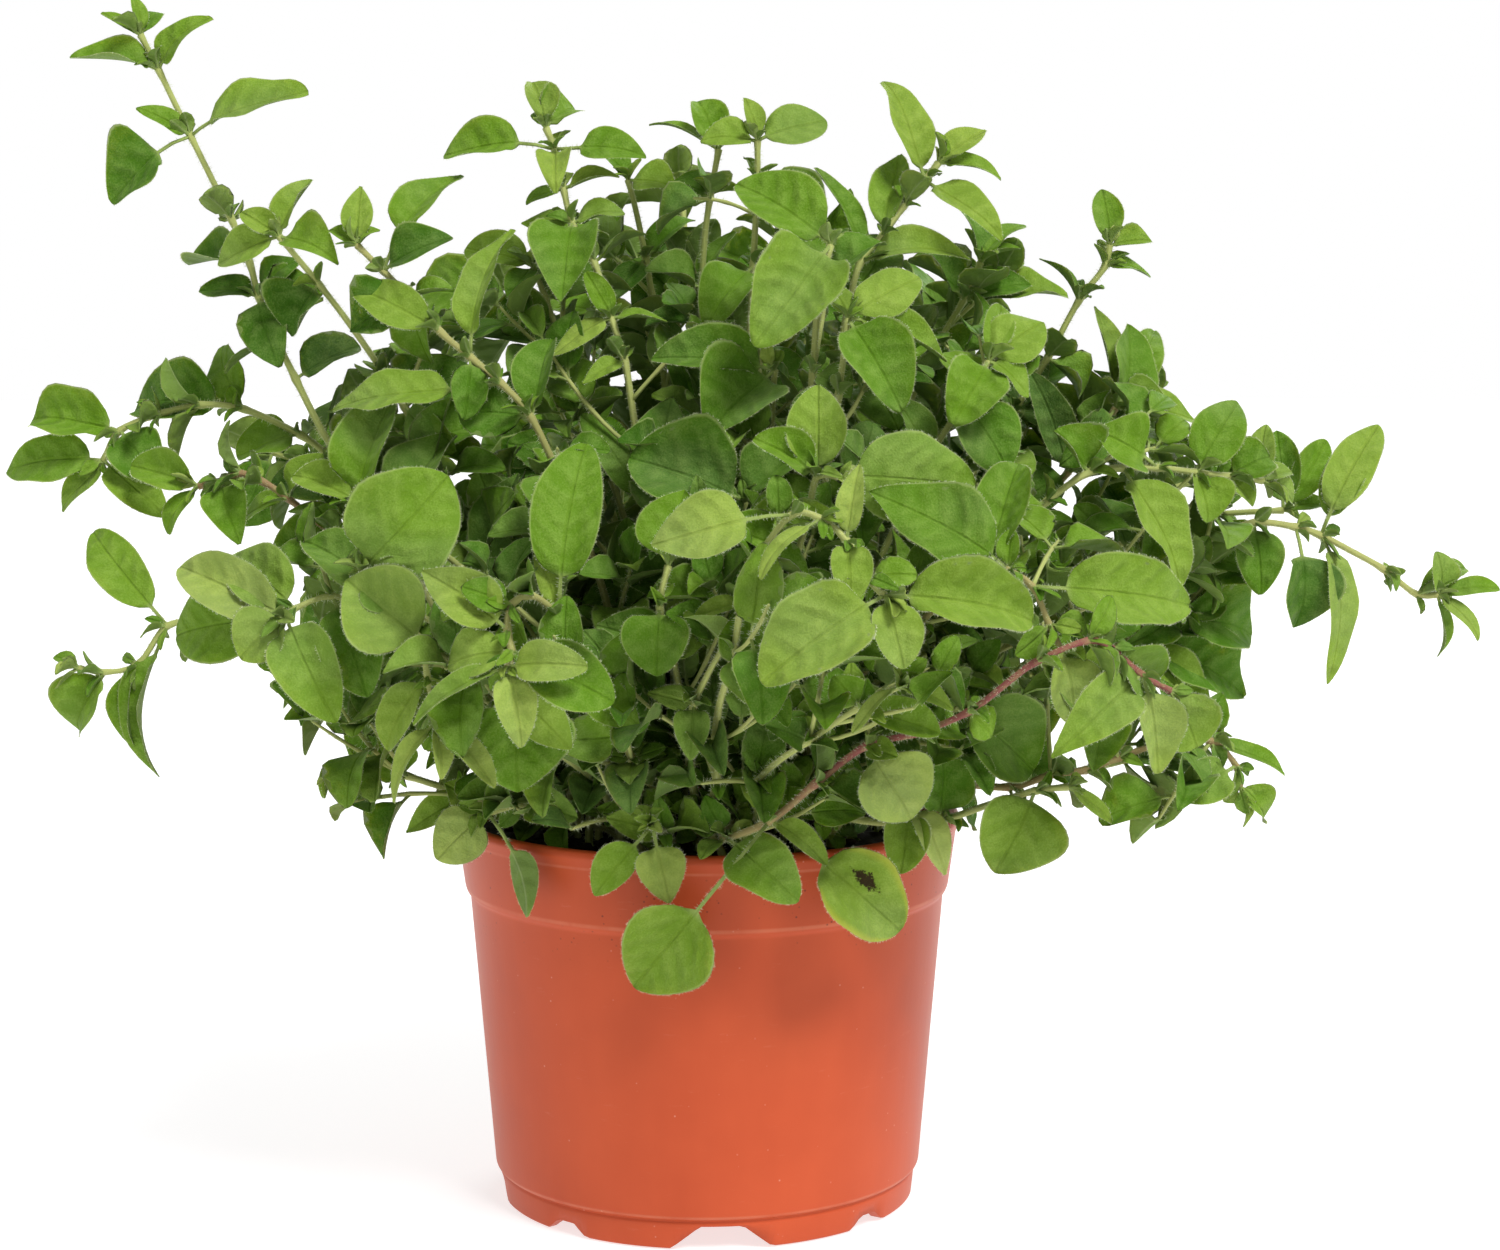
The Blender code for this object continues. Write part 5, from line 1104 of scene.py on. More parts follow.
def leaf_skin(skin, lf, dice):
    """One leaf: its petiole and blade lofted as a thin closed shell, with hairs on its margin."""
    along = lf["tip"] - lf["base"]
    length = along.length
    along = along / length
    face = square_to(along, lf["face"])
    base, along, face, side = (np.array(w) for w in (lf["base"], along, face, along.cross(face)))
    grade = (length > SMALL_LEAF) + (length > BIG_LEAF)
    rows, cols = (PLAIN_MESH if lf["plain"] else FINE_MESH)[grade]
    x, reach, is_blade = leaf_rows(lf, length, rows, dice)
    t = x / length
    phi = 2.0 * np.pi * np.arange(cols) / cols
    v, up = -np.cos(phi)[None], np.sin(phi)[None]
    uneven = 1.0 + dice.uniform(0.0, 0.03) * np.sin(x * 0.55 + np.sign(v) + dice.uniform(0, 6.3))
    y = v * reach * uneven
    bow, swing = dice.uniform(0.12, 0.46), dice.uniform(-0.28, 0.28)
    droop = length * dice.uniform(0.0, 0.14)
    arch = length * t * (1.0 - t) * (bow + swing * (1.0 - 2.0 * t)) - droop * t ** 3
    sway = length * dice.uniform(-0.07, 0.07) * t * (1.0 - t)
    rise, fold = blade_relief(lf, x, t, y, v, reach, dice)
    if lf["plain"]:
        y = y / math.hypot(1.0, fold)
    groove = np.exp(-(y / 0.7) ** 2)
    skin_off = np.where(up > 0.0, BLADE_UPPER * up - 0.10 * groove * (up > 0.9),
                        BLADE_UNDER * up - KEEL * groove * (1.0 - 0.8 * t) * (up < -0.5))
    z = is_blade * (rise + skin_off) + (1.0 - is_blade) * PETIOLE_RADIUS * up
    twist = math.radians(dice.uniform(-16.0, 16.0)) * (t - 0.4)
    y, z = y * np.cos(twist) - z * np.sin(twist), y * np.sin(twist) + z * np.cos(twist)
    spots = base + along * x[..., None] + side * (y + sway)[..., None] + face * (z + arch)[..., None]
    tip = base + along * length - face * droop
    chance = 2.0 if lf.get("soiled") else dice.random()
    blade = marks(y.shape, x - lf["stalk"] * length, v * reach, np.sign(np.round(up, 6)))
    skin.loft(spots, base, tip, blade, marks(y.shape, lf["tone"], chance, np.abs(v) * is_blade), LEAF)
    if length > SMALL_LEAF:
        margin_hairs(skin, spots, side, along, reach[:, 0], lf, dice)


def margin_hairs(skin, spots, side, along, reach, lf, dice):
    """Short pale hairs along both margins of a blade and round its petiole."""
    cols = spots.shape[1]
    hairiness = PLAIN_HAIRS if lf["plain"] else 1.0
    for column, out in ((0, -1.0), (cols // 2, 1.0)):
        line = spots[len(PETIOLE_ROWS):, column]
        spans = np.linalg.norm(np.diff(line, axis=0), axis=1)
        n = int(spans.sum() * MARGIN_HAIRS * hairiness)
        if n < 2:
            continue
        far = np.sort(draws(dice, 0.0, 1.0, n)) * spans.sum()
        at = np.minimum(np.searchsorted(np.cumsum(spans), far), len(spans) - 1)
        share = (far - np.concatenate([[0.0], np.cumsum(spans)])[at]) / spans[at]
        roots = line[at] + (line[at + 1] - line[at]) * share[:, None]
        slope = np.gradient(reach[len(PETIOLE_ROWS):])[at] / np.maximum(spans[at], 0.05)
        ways = side * out - along * slope[:, None] * 0.8 + draws(dice, -0.45, 0.45, n, 3)
        skin.hairs(roots, ways, draws(dice, 0.2, 0.55, n), lf["tone"], MARGIN_HAIR_RADIUS)
    n = int(np.linalg.norm(spots[2, 0] - spots[0, 0]) * PETIOLE_HAIRS * hairiness)
    if n > 1:
        rings = np.array([dice.randrange(0, 2) for _ in range(n)])
        cells = np.array([dice.randrange(0, cols) for _ in range(n)])
        share = draws(dice, 0.0, 1.0, n, 1)
        roots = spots[rings, cells] * (1.0 - share) + spots[rings + 1, cells] * share
        middle = spots[rings].mean(1) * (1.0 - share) + spots[rings + 1].mean(1) * share
        skin.hairs(roots, roots - middle, draws(dice, 0.4, 0.9, n), lf["tone"], STEM_HAIR_RADIUS)


# ---- stems ----
def smooth_path(points, step):
    """Points every step mm or so on the smooth curve through the given ones, and where those lie."""
    out, places = [], []
    for k in range(len(points) - 1):
        before = points[k - 1] if k else 2.0 * points[0] - points[1]
        after = points[k + 2] if k + 2 < len(points) else 2.0 * points[-1] - points[-2]
        count = max(2, round((points[k + 1] - points[k]).length / step))
        places.append(len(out))
        out += [between(before, points[k], points[k + 1], after, m / count) for m in range(count)]
    places.append(len(out))
    out.append(points[-1].copy())
    return out, places


def stem_skin(skin, points, carriers, tone, blush, dice, hairiness, slim=1.0):
    """A four-cornered hairy stem, swollen where leaves spring from it."""
    path, places = smooth_path(points, STEM_STEP if slim == 1.0 else TWIG_STEP)
    n = len(path)
    share = np.arange(n) / (n - 1)
    radius = (STEM_FOOT_RADIUS + (STEM_TIP_RADIUS - STEM_FOOT_RADIUS) * share) * slim * STEM_SLIM
    for k in carriers:
        radius *= 1.0 + NODE_SWELLING * np.exp(-((np.arange(n) - places[k]) * STEM_STEP / 1.6) ** 2)
    turns = 2.0 * np.pi * np.arange(STEM_SIDES) / STEM_SIDES
    corner = 1.0 + 0.09 * np.cos(4.0 * turns)
    middle = np.array(path)
    along, across, other = np.array(frames(path)).transpose(1, 0, 2)
    out = across[:, None] * np.cos(turns)[None, :, None] + other[:, None] * np.sin(turns)[None, :, None]
    rows = middle[:, None] + out * (radius[:, None] * corner[None])[..., None]
    x = np.cumsum(np.concatenate([[0.0], np.linalg.norm(np.diff(middle, axis=0), axis=1)]))
    flush = blush * np.clip(share * 3.0 - 0.4, 0.0, 1.0)
    grid = rows.shape[:2]
    skin.loft(rows, middle[0], middle[-1] + along[-1] * 0.5,
              marks(grid, x[:, None], turns, 0.0), marks(grid, tone, flush[:, None], 0.0), STEM)
    count = int(x[-1] * STEM_HAIRS * hairiness)
    at = np.array([dice.randrange(min(4, n - 2), n - 1) for _ in range(count)])
    spin = draws(dice, 0.0, FULL_TURN, count, 1)
    slide = draws(dice, 0.0, 1.0, count, 1)
    way = across[at] * np.cos(spin) + other[at] * np.sin(spin)
    centre = middle[at] * (1.0 - slide) + middle[at + 1] * slide
    roots = centre + way * (radius[at] * 0.95)[:, None]
    lean = along[at] * draws(dice, -0.5, 0.25, count, 1)
    jitter = draws(dice, -0.3, 0.3, count, 3)
    skin.hairs(roots, way + lean + jitter, draws(dice, 0.5, 1.3, count), tone, STEM_HAIR_RADIUS)


# ---- pot and soil ----
def pot_wall_radius(z):
    """The radius of the pot's inner wall."""
    low_radius = WALL_FOOT_RADIUS - WALL
    t = (z - FLOOR_TOP) / (LIP_INNER_HEIGHT - FLOOR_TOP)
    return low_radius + t * (LIP_INNER_RADIUS - low_radius)


def rounded(corners, reach=0.5, steps=3):
    """The outline with each corner replaced by a short arc."""
    out = [corners[0]]
    for k in range(1, len(corners) - 1):
        p, a, b = (Vector(corners[k + d]) for d in (0, -1, 1))
        cut = min(reach, 0.45 * (a - p).length, 0.45 * (b - p).length)
        start, end = p + (a - p).normalized() * cut, p + (b - p).normalized() * cut
        for m in range(steps + 1):
            t = m / steps
            spot = start * (1 - t) ** 2 + p * (2 * t * (1 - t)) + end * t * t
            out.append((spot.x, spot.y))
    out.append(corners[-1])
    return out


def pot_outline():
    """Half the pot's section, from the middle of its underside round to the middle of its floor."""
    corners = (
        (0.6, FLOOR_UNDER), (FOOT_RADIUS - 4.4, FLOOR_UNDER), (FOOT_RADIUS - 3.4, 0.0),
        (FOOT_RADIUS - 0.6, 0.0), (FOOT_RADIUS - 0.1, GROOVE_HEIGHT - 0.5),
        (FOOT_RADIUS - 0.4, GROOVE_HEIGHT + 0.3), (WALL_FOOT_RADIUS - 0.3, GROOVE_HEIGHT + 0.9),
        (WALL_FOOT_RADIUS, GROOVE_HEIGHT + 1.6), (WALL_TOP_RADIUS, BAND_LOW - 1.2),
        (BAND_LOW_RADIUS - 0.35, BAND_LOW - 0.2), (BAND_LOW_RADIUS, BAND_LOW + 0.9),
        (RIM_RADIUS - 0.9, POT_HEIGHT - 4.6), (RIM_RADIUS - 0.5, POT_HEIGHT - 3.2),
        (RIM_RADIUS, POT_HEIGHT - 1.7), (RIM_RADIUS - 0.5, POT_HEIGHT - 0.4), (RIM_RADIUS - 1.7, POT_HEIGHT),
        (RIM_RADIUS - 2.9, POT_HEIGHT - 0.7), (LIP_INNER_RADIUS, LIP_INNER_HEIGHT),
        (pot_wall_radius(FLOOR_TOP), FLOOR_TOP), (0.6, FLOOR_TOP),
    )
    profile = []
    for (r0, z0), (r1, z1) in zip(rounded(corners), rounded(corners)[1:]):
        parts = max(1, round(math.hypot(r1 - r0, z1 - z0) / 5.0))
        profile += [(r0 + (r1 - r0) * m / parts, z0 + (z1 - z0) * m / parts) for m in range(parts)]
    return profile + [corners[-1]]


def gap_heights(turns):
    """How high the foot ring's gaps reach at each angle."""
    pitch = 360.0 / GAPS
    heights = np.zeros(len(turns))
    for k, (width_top, width_low, height) in enumerate(GAP_SHAPES):
        off = (turns - FIRST_GAP - pitch * k + pitch) % (2.0 * pitch) - pitch
        aside = np.abs(np.radians(off)) * FOOT_RADIUS
        heights += height * np.clip((width_low - 2.0 * aside) / (width_low - width_top), 0.0, 1.0)
    return heights


def drill_holes(pot):
    """Cut the drain holes through the pot's floor."""
    holes = bpy.data.collections.new("drain_holes")
    low, high = FLOOR_TOP - DRILL_REACH, FLOOR_TOP + DRILL_REACH
    for k in range(DRAIN_HOLES):
        turn = math.radians(FIRST_GAP + 360.0 * (k + 0.5) / DRAIN_HOLES)
        middle = np.array([math.cos(turn), math.sin(turn), 0.0]) * DRAIN_RING
        hole = Skin()
        barrel = turned_rows([(DRAIN_RADIUS, low), (DRAIN_RADIUS, high)], DRAIN_SIDES) + middle
        hole.loft(barrel, middle + [0, 0, low], middle + [0, 0, high], NO_MARK, NO_MARK, 0)
        tool = hole.piece("drain_hole_%d" % k, [])
        bpy.context.scene.collection.objects.unlink(tool)
        holes.objects.link(tool)
    mod = pot.modifiers.new("Drain", "BOOLEAN")
    mod.operation = "DIFFERENCE"
    mod.solver = "EXACT"
    mod.operand_type = "COLLECTION"
    mod.collection = holes
    bpy.context.view_layer.update()
    made = bpy.data.meshes.new_from_object(pot.evaluated_get(bpy.context.evaluated_depsgraph_get()))
    pot.modifiers.clear()
    pot.data = made
    for tool in list(holes.objects):
        bpy.data.objects.remove(tool)
    bpy.data.collections.remove(holes)


def make_pot():
    """The nursery pot: rolled lip, rim band, tapered wall, grooved foot ring with eight gaps."""
    profile = pot_outline()
    rows = turned_rows(profile, POT_SIDES)
    ceiling = gap_heights(np.degrees(np.arctan2(rows[0, :, 1], rows[0, :, 0])))
    foot = np.array([z < GROOVE_HEIGHT for _r, z in profile])
    rows[foot, :, 2] = np.maximum(rows[foot, :, 2], ceiling[None])
    skin = Skin()
    skin.loft(rows, (0.0, 0.0, FLOOR_UNDER), (0.0, 0.0, FLOOR_TOP), NO_MARK, NO_MARK, 0)
    pot = skin.piece("pot_shell", [pot_material()])
    drill_holes(pot)
    return pot


def crumb(skin, spot, size, squash, dice):
    """One rough lump of soil."""
    made = bmesh.new()
    bmesh.ops.create_icosphere(made, subdivisions=2 if size > 1.6 else 1, radius=1.0)
    points = np.array([v.co for v in made.verts])
    tris = np.array([[v.index for v in face.verts] for face in made.faces])
    made.free()
    points *= 1.0 + 0.22 * draws(dice, -1.0, 1.0, len(points), 1)
    spin = dice.uniform(0.0, FULL_TURN)
    c, s = math.cos(spin), math.sin(spin)
    points = points * [size, size * dice.uniform(0.45, 0.9), size * squash]
    points = points @ np.array([[c, s, 0.0], [-s, c, 0.0], [0.0, 0.0, 1.0]])
    skin.add(points + spot, [], tris, NO_MARK, (dice.random(), size, 0.0), 0)


def make_soil(dice):
    """Moist compost: a rough top with lumps, a plain body inside the pot."""
    edge = pot_wall_radius(SOIL_EDGE) - SOIL_GAP - 0.1
    foot = pot_wall_radius(FLOOR_TOP) - SOIL_GAP - 0.1
    radii = [edge * (1.0 - (k / SOIL_RINGS) ** 1.05) for k in range(SOIL_RINGS)]
    profile = [(foot, FLOOR_TOP + SOIL_GAP), (foot + 0.5 * (edge - foot), 0.5 * (FLOOR_TOP + SOIL_EDGE))]
    profile += [(max(r, 0.5), soil_height(r, 0.0)) for r in radii]
    rows = turned_rows(profile, SOIL_SIDES)
    rough = noise_heights(rows[2:].reshape(-1, 3)).reshape(rows[2:].shape[:2])
    fade = np.clip((edge - np.array(radii)) / 4.0, 0.0, 1.0)[:, None]
    rows[2:, :, 2] += rough * fade
    skin = Skin()
    skin.loft(rows, (0.0, 0.0, FLOOR_TOP + SOIL_GAP), (0.0, 0.0, SOIL_CROWN), NO_MARK, (0.5, 3.0, 0.0), 0)
    for _ in range(CRUMBS):
        far = (edge - 1.5) * math.sqrt(dice.random())
        turn = dice.uniform(0.0, FULL_TURN)
        x, y = far * math.cos(turn), far * math.sin(turn)
        size = dice.choice((0.5, 0.7, 0.9, 1.2, 1.6, 2.2))
        crumb(skin, (x, y, soil_height(x, y) + 0.25 * size), size, 0.6, dice)
    return skin.piece("soil_top", [soil_material()])


def noise_heights(points):
    """Coarse and fine bumps of about a millimetre."""
    return np.array([noise.noise(Vector(p) * 0.35) + 0.6 * noise.noise(Vector(p) * 0.9) for p in points])


# ---- materials ----
class Nodes:
    """Short calls for building a material's nodes."""

    def __init__(self, name):
        self.mat = bpy.data.materials.new(name)
        self.mat.use_nodes = True
        self.tree = self.mat.node_tree
        self.shader = self.tree.nodes["Principled BSDF"]

    def node(self, kind, **settings):
        made = self.tree.nodes.new(kind)
        for key, value in settings.items():
            setattr(made, key, value)
        return made

    def feed(self, socket, value):
        """Link a socket, or set it to a number or a colour."""
        if isinstance(value, bpy.types.NodeSocket):
            self.tree.links.new(value, socket)
        elif isinstance(value, tuple) and len(value) == 3 and socket.type == "RGBA":
            socket.default_value = (*value, 1.0)
        else:
            socket.default_value = value

    def math(self, operation, a, b=0.0, c=0.0):
        made = self.node("ShaderNodeMath", operation=operation)
        for socket, value in zip(made.inputs, (a, b, c)):
            self.feed(socket, value)
        return made.outputs[0]

    def times(self, a, b, plus=None):
        """a times b, and plus a third where one is given."""
        if plus is None:
            return self.math("MULTIPLY", a, b)
        return self.math("MULTIPLY_ADD", a, b, plus)

    def step(self, value, start, end, low=0.0, high=1.0):
        """Smoothly from low at start to high at end."""
        made = self.node("ShaderNodeMapRange", interpolation_type="SMOOTHSTEP")
        for socket, number in zip(made.inputs, (value, start, end, low, high)):
            self.feed(socket, number)
        return made.outputs[0]

    def mix(self, share, a, b, blend="MIX"):
        made = self.node("ShaderNodeMix", data_type="RGBA", blend_type=blend)
        for socket, value in zip((made.inputs[0], made.inputs[6], made.inputs[7]), (share, a, b)):
            self.feed(socket, value)
        return made.outputs[2]

    def tinted(self, colour, by):
        """The colour, each channel times that of another."""
        return self.mix(1.0, colour, by, "MULTIPLY")

    def ramp(self, value, stops):
        made = self.node("ShaderNodeValToRGB")
        self.feed(made.inputs[0], value)
        line = made.color_ramp.elements
        while len(line) < len(stops):
            line.new(0.5)
        for element, (place, colour) in zip(line, stops):
            element.position = place
            element.color = (*colour, 1.0)
        return made.outputs[0]

    def parts(self, vector):
        """The X, Y and Z of a vector."""
        split = self.node("ShaderNodeSeparateXYZ")
        self.feed(split.inputs[0], vector)
        return split.outputs

    def mark(self, name):
        """The three numbers of one of the skin's marks."""
        return self.parts(self.node("ShaderNodeAttribute", attribute_name=name).outputs["Vector"])

    def place(self, scale=(1.0, 1.0, 1.0)):
        """The place on the object in millimetres, stretched by scale."""
        coords = self.node("ShaderNodeTexCoord")
        mapping = self.node("ShaderNodeMapping")
        self.tree.links.new(coords.outputs["Object"], mapping.inputs["Vector"])
        mapping.inputs["Scale"].default_value = [1000.0 * s for s in scale]
        return mapping.outputs[0]

    def noise(self, where, scale, detail=3.0, rough=0.55):
        made = self.node("ShaderNodeTexNoise")
        self.feed(made.inputs["Vector"], where)
        for key, value in (("Scale", scale), ("Detail", detail), ("Roughness", rough)):
            made.inputs[key].default_value = value
        return made.outputs[0]

    def cells(self, where, scale):
        """How far the nearest of some scattered points is."""
        made = self.node("ShaderNodeTexVoronoi")
        self.feed(made.inputs["Vector"], where)
        made.inputs["Scale"].default_value = scale
        return made.outputs[0]

    def bump(self, height, strength, distance):
        made = self.node("ShaderNodeBump")
        self.feed(made.inputs["Height"], height)
        made.inputs["Strength"].default_value = strength
        made.inputs["Distance"].default_value = distance * MM
        self.tree.links.new(made.outputs[0], self.shader.inputs["Normal"])

    def set(self, **values):
        for key, value in values.items():
            self.feed(self.shader.inputs[key.replace("_", " ")], value)


def leaf_material():
    """Matte downy green, older leaves darker: quilted between the veins, pale margin, greyer underside, with
    a painted sheen on the upper side's raised puffs and painted shade in its sunk veins.
    """
    n = Nodes("marjoram_leaf")
    x, y, face = n.mark("blade")
    tone, chance, margin = n.mark("leaf")
    where = n.place()
    lit = n.times(tone, 0.5, 0.5)
    lit = n.math("ADD", lit, n.times(n.math("MINIMUM", chance, 1.0), 0.22, -0.11))
    green = n.ramp(lit, LEAF_RAMP)
    greyer = n.mix(0.45, n.tinted(green, (1.05, 1.0, 1.35)), (0.17, 0.24, 0.10))
    green = n.mix(n.step(n.noise(where, 0.035, 1.0), 0.46, 0.66, 0.0, 0.5), green, greyer)
    wide = n.math("ABSOLUTE", y)
    crease = n.step(wide, 0.02, 0.50, 1.0, 0.0)
    flank = n.step(wide, 0.2, 0.9, 1.0, 0.0)
    slope = n.times(wide, n.times(wide, -0.07, -0.40), x)
    blotchy = n.noise(where, 0.20, 2.0)
    wobble = n.times(n.noise(where, 0.16, 1.0), 2.2, slope)
    lane = n.math("PINGPONG", n.times(wobble, 1.0 / VEIN_SPACING), 0.5)
    inner = n.step(margin, 0.50, 0.90, 1.0, 0.0)
    lateral = n.times(n.step(lane, 0.0, 0.11, 1.0, 0.0), inner)
    veins = n.math("MAXIMUM", crease, n.times(lateral, n.step(blotchy, 0.35, 0.65, 0.02, 0.30)))
    puff = n.times(n.step(lane, 0.06, 0.5), n.times(inner, 0.6, 0.4))
    grain = n.noise(where, 2.4, 2.0, 0.7)
    # Painted sheen: a paler, greyer colour on the raised puffs and in noisy patches stands in for light
    # caught by the down.
    downy = n.step(n.times(puff, 0.10, n.times(blotchy, 0.62, n.times(grain, 0.80))), 0.55, 1.08)
    painted_sheen_colour = n.mix(0.30, n.tinted(green, (1.50, 1.38, 1.20)), (0.38, 0.48, 0.17))
    upper = n.mix(n.times(downy, 0.75), green, painted_sheen_colour)
    upper = n.mix(n.times(flank, 0.22), upper, n.tinted(green, (1.7, 1.45, 1.6)))
    # Painted shade: the upper side is darkened along its sunk midrib crease and lateral veins, where shade
    # falls in the grooves.
    upper = n.mix(n.times(veins, 0.26), upper, n.tinted(green, (0.62, 0.74, 0.50)))
    under = n.mix(0.62, green, UNDERSIDE)
    under = n.mix(n.times(veins, 0.5), under, (0.33, 0.41, 0.17))
    colour = n.mix(n.step(face, -0.2, 0.2), under, upper)
    colour = n.mix(n.step(margin, 0.93, 0.99, 0.0, 0.62), colour, (0.38, 0.49, 0.15))
    colour = n.mix(n.step(x, 1.2, -1.0), colour, (0.30, 0.39, 0.11))
    soiled = n.step(chance, 1.4, 1.6)
    yellow = n.times(soiled, n.step(margin, 0.74, 1.0, 0.0, 0.7))
    colour = n.mix(yellow, colour, (0.40, 0.42, 0.05))
    aside = n.math("ABSOLUTE", n.math("ADD", y, 3.0))
    from_spot = n.times(n.math("ABSOLUTE", n.math("SUBTRACT", x, 9.0)), 0.50, aside)
    blot = n.step(n.times(n.noise(where, 0.7, 4.0, 0.8), 6.5, from_spot), 4.6, 5.3, 1.0, 0.0)
    colour = n.mix(n.times(blot, soiled), colour, (0.035, 0.022, 0.010))
    height = n.times(veins, -0.55, n.times(puff, 0.75, n.times(blotchy, 2.9)))
    height = n.times(height, n.step(face, -0.2, 0.2, -0.8, 1.0))
    height = n.times(grain, 0.50, height)
    height = n.times(n.noise(where, 0.085, 1.0), 6.5, height)
    n.bump(height, 0.85, 0.50)
    n.set(Base_Color=colour, Roughness=n.step(grain, 0.3, 0.8, 0.55, 0.75), Sheen_Weight=0.06,
          Sheen_Roughness=0.45, Sheen_Tint=(0.90, 0.95, 0.55), Specular_IOR_Level=0.07,
          Subsurface_Weight=0.12, Subsurface_Radius=(0.9, 1.0, 0.25), Subsurface_Scale=0.0012)
    return n.mat


def stem_material():
    """Pale downy green, flushed brown purple where it is marked so."""
    n = Nodes("marjoram_stem")
    _x, turn, _none = n.mark("blade")
    tone, flush, _near = n.mark("leaf")
    where = n.place()
    base = n.mix(n.times(tone, 0.5, 0.5), (0.29, 0.36, 0.085), (0.54, 0.60, 0.20))
    streak = n.noise(where, 0.5, 3.0)
    share = n.times(flush, n.step(streak, 0.25, 0.6, 0.7, 1.0))
    colour = n.mix(share, base, (0.27, 0.085, 0.075))
    ridge = n.math("ABSOLUTE", n.math("COSINE", n.times(turn, 2.0)))
    colour = n.mix(n.step(ridge, 0.7, 1.0, 0.0, 0.3), colour, n.tinted(colour, (1.4, 1.35, 1.4)))
    down = n.noise(where, 3.0, 2.0)
    n.bump(down, 0.5, 0.15)
    n.set(Base_Color=colour, Roughness=n.step(down, 0.3, 0.7, 0.5, 0.7), Sheen_Weight=0.12,
          Sheen_Roughness=0.4, Sheen_Tint=(0.95, 0.95, 0.75), Specular_IOR_Level=0.2)
    return n.mat


def hair_material():
    """Pale hairs, whiter on young growth."""
    n = Nodes("marjoram_hair")
    tone, _chance, _near = n.mark("leaf")
    colour = n.mix(n.step(tone, -1.0, 1.0), (0.58, 0.66, 0.34), (0.76, 0.82, 0.54))
    n.set(Base_Color=colour, Roughness=0.5, Specular_IOR_Level=0.5)
    return n.mat


def pot_material():
    """Satin terracotta-coloured plastic: faint flow lines, dust, dark specks, faint scuffs, and painted
    highlights along its ledges.
    """
    n = Nodes("pot_plastic_satin")
    where = n.place()
    flow = n.noise(n.place((1.0, 1.0, 0.12)), 0.10, 4.0)
    cloud = n.noise(where, 0.035, 3.0)
    colour = n.ramp(n.times(flow, 0.25, n.times(cloud, 0.75)), ((0.30, POT_DARK), (0.70, POT_LIGHT)))
    up = n.parts(where)[2]
    # Painted highlights: lighter lines just above the band's lower ledge, just above the foot's groove and
    # at the foot of the rolled lip, where those edges catch the light.
    for spot, width in ((BAND_LOW + 0.5, 0.7), (GROOVE_HEIGHT + 1.2, 0.6), (POT_HEIGHT - 4.2, 0.5)):
        away = n.math("ABSOLUTE", n.math("SUBTRACT", up, spot))
        line = n.times(n.step(away, 0.2 * width, width, 1.0, 0.0), n.step(flow, 0.3, 0.6, 0.06, 0.22))
        colour = n.mix(line, colour, (0.80, 0.34, 0.20))
    lone = n.step(n.noise(where, 0.21, 1.0), 0.60, 0.66)
    dust = n.times(n.step(n.cells(where, 0.42), 0.05, 0.13, 1.0, 0.0), lone)
    colour = n.mix(n.times(dust, 0.35), colour, (0.78, 0.50, 0.38))
    upper_patches = n.times(n.step(n.noise(where, 0.13, 1.0), 0.52, 0.60), n.step(up, 62.0, 78.0))
    dirt = n.times(n.step(n.cells(where, 0.55), 0.08, 0.17, 1.0, 0.0), upper_patches)
    colour = n.mix(n.times(dirt, 0.75), colour, (0.10, 0.03, 0.018))
    scuff = n.step(n.noise(n.place((0.5, 0.5, 3.0)), 0.22, 5.0, 0.7), 0.62, 0.80)
    colour = n.mix(n.times(scuff, 0.18), colour, (0.72, 0.30, 0.20))
    grain = n.noise(where, 1.8, 2.0)
    n.bump(n.times(flow, 1.0, n.times(grain, 0.20)), 0.22, 0.35)
    rough = n.times(cloud, 0.12, n.times(scuff, 0.12, 0.34))
    n.set(Base_Color=colour, Roughness=n.math("ADD", rough, n.times(dust, 0.3)), Specular_IOR_Level=0.22)
    return n.mat


def soil_material():
    """Near-black moist peat with brown lumps."""
    n = Nodes("potting_soil_moist")
    chance, _size, _near = n.mark("leaf")
    where = n.place()
    fine = n.noise(where, 0.9, 6.0, 0.7)
    base = n.ramp(fine, ((0.30, (0.006, 0.004, 0.003)), (0.55, (0.022, 0.014, 0.009)),
                         (0.80, (0.075, 0.045, 0.026))))
    colour = n.mix(n.step(chance, 0.75, 0.95, 0.0, 0.6), base, (0.10, 0.055, 0.03))
    n.bump(fine, 0.9, 0.8)
    n.set(Base_Color=colour, Roughness=n.step(fine, 0.3, 0.7, 0.65, 0.95), Specular_IOR_Level=0.35)
    return n.mat


# ---- the piece list ----
def grow_all():
    """Each shoot as one piece: its stem, its side twigs and all their leaves."""
    mats = [leaf_material(), stem_material(), hair_material()]
    dice = random.Random(41)
    for i, (points, leaves, twigs, tone) in enumerate(lay_out()):
        skin = Skin()
        carriers = sorted({lf["at"] for lf in leaves})
        hairiness = 1.0 if i < len(HAND_LAID) else PLAIN_HAIRS
        stem_skin(skin, points, carriers, tone, STEM_FLUSH.get(i, 0.08), dice, hairiness)
        for path, held in twigs:
            stem_skin(skin, path, (2, 3), tone, 0.1, dice, PLAIN_HAIRS, TWIG_RADIUS / STEM_FOOT_RADIUS)
            leaves = leaves + held
        for lf in leaves:
            leaf_skin(skin, lf, dice)
        piece = skin.piece("shoot_%02d_growth" % (i + 1), mats)
        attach(piece, "root")
        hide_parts("shoot_%02d" % (i + 1))


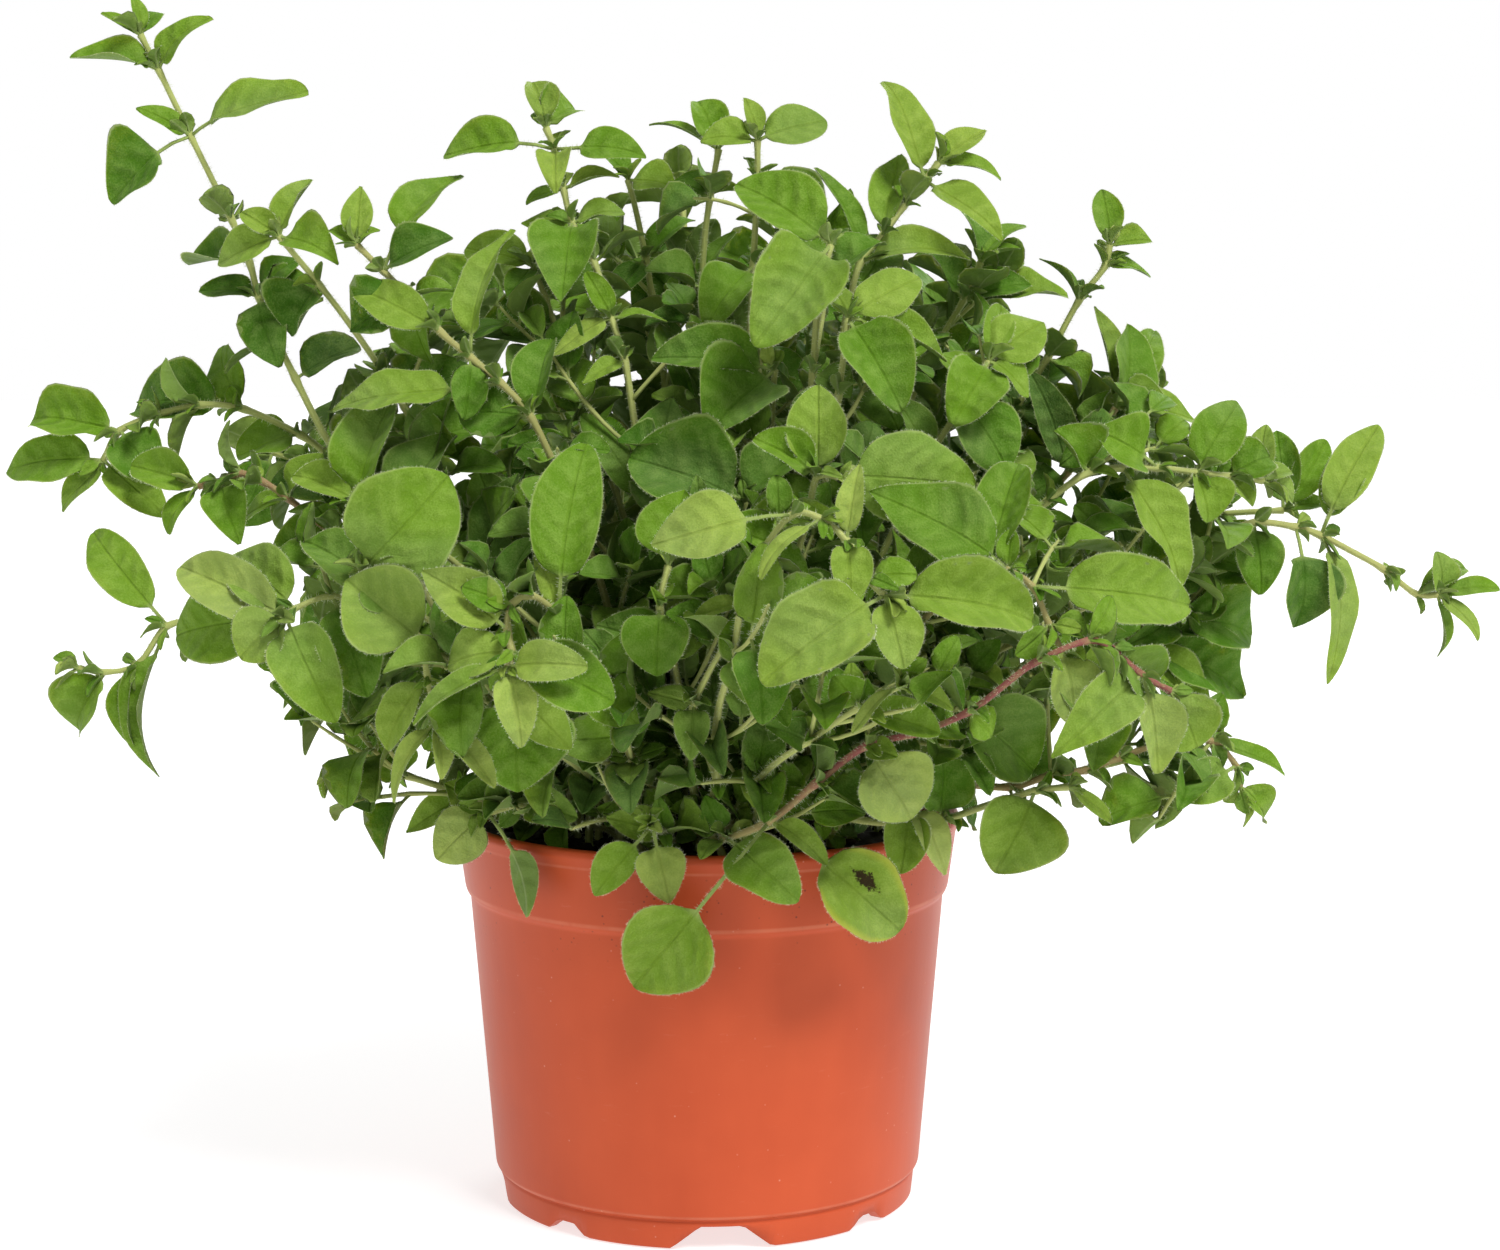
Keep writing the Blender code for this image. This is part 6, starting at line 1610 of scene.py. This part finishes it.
def make_stage():
    """A wide pale floor, just under the pot's feet, with a pinhole at its middle."""
    rows = turned_rows([(0.5, FLOOR_LEVEL), (FLOOR_RADIUS, FLOOR_LEVEL)], FLOOR_SIDES)
    here = np.arange(FLOOR_SIDES)
    after = (here + 1) % FLOOR_SIDES
    skin = Skin()
    skin.add(rows, np.stack([here, FLOOR_SIDES + here, FLOOR_SIDES + after, after], axis=1), [],
             NO_MARK, NO_MARK, 0)
    n = Nodes("pale_floor")
    grey = n.ramp(n.noise(n.place(), 0.004, 2.0), ((0.0, (0.44, 0.44, 0.44)), (1.0, (0.48, 0.48, 0.48))))
    n.set(Base_Color=grey, Roughness=0.8, Specular_IOR_Level=0.2,
          Emission_Color=WHITE, Emission_Strength=0.70)
    floor = skin.piece("floor", [n.mat])


def stand(name, data, spot, turn):
    """A light or camera as an object in the scene."""
    ob = bpy.data.objects.new(name, data)
    ob.location = spot
    ob.rotation_euler = turn
    bpy.context.scene.collection.objects.link(ob)
    return ob


def white_sky():
    """A white world: plain white to the camera, dimmer as a light."""
    world = bpy.data.worlds.new("studio")
    bpy.context.scene.world = world
    world.use_nodes = True
    tree = world.node_tree
    dim, backdrop = tree.nodes["Background"], tree.nodes.new("ShaderNodeBackground")
    for sky, strength in ((dim, SKY_STRENGTH), (backdrop, 1.0)):
        sky.inputs["Color"].default_value = (*WHITE, 1.0)
        sky.inputs["Strength"].default_value = strength
    ray, choice = tree.nodes.new("ShaderNodeLightPath"), tree.nodes.new("ShaderNodeMixShader")
    sources = (ray.outputs["Is Camera Ray"], dim.outputs[0], backdrop.outputs[0])
    for socket, source in zip(choice.inputs, sources):
        tree.links.new(source, socket)
    tree.links.new(choice.outputs[0], tree.nodes["World Output"].inputs["Surface"])


def light_up():
    """A wide sun from the front right, a white sky and a soft light behind."""
    white_sky()
    sun = bpy.data.lights.new("sun", "SUN")
    sun.energy = SUN_STRENGTH
    sun.angle = math.radians(SUN_SPREAD)
    stand("sun", sun, (0.0, 0.0, 0.0), SUN_FROM.to_track_quat("Z", "Y").to_euler())
    fill = bpy.data.lights.new("back_fill", "AREA")
    fill.shape = "DISK"
    fill.size = BACK_FILL_SIZE
    fill.energy = BACK_FILL_POWER
    aim = Vector((POT_AXIS[0], POT_AXIS[1], BACK_FILL_AIM))
    stand("back_fill", fill, BACK_FILL_FROM, (aim - BACK_FILL_FROM).to_track_quat("-Z", "Y").to_euler())


def place_camera():
    camera = bpy.data.cameras.new("camera")
    camera.lens = LENS
    camera.sensor_width = 36.0
    spot = (POT_AXIS[0], POT_AXIS[1] - EYE_BACK * MM, EYE_UP * MM)
    turn = (math.radians(90.0 - EYE_PITCH), 0.0, math.radians(-EYE_YAW))
    bpy.context.scene.camera = stand("camera", camera, spot, turn)


def main():
    pot = make_pot()
    soil = make_soil(random.Random(8))
    for piece, node, slot in ((pot, "pot", "pot_plastic"), (soil, "soil", "potting_soil")):
        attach(piece, "root")
        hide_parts(node)
    grow_all()
    make_stage()
    light_up()
    place_camera()
    bpy.context.scene.view_settings.view_transform = "Standard"


main()
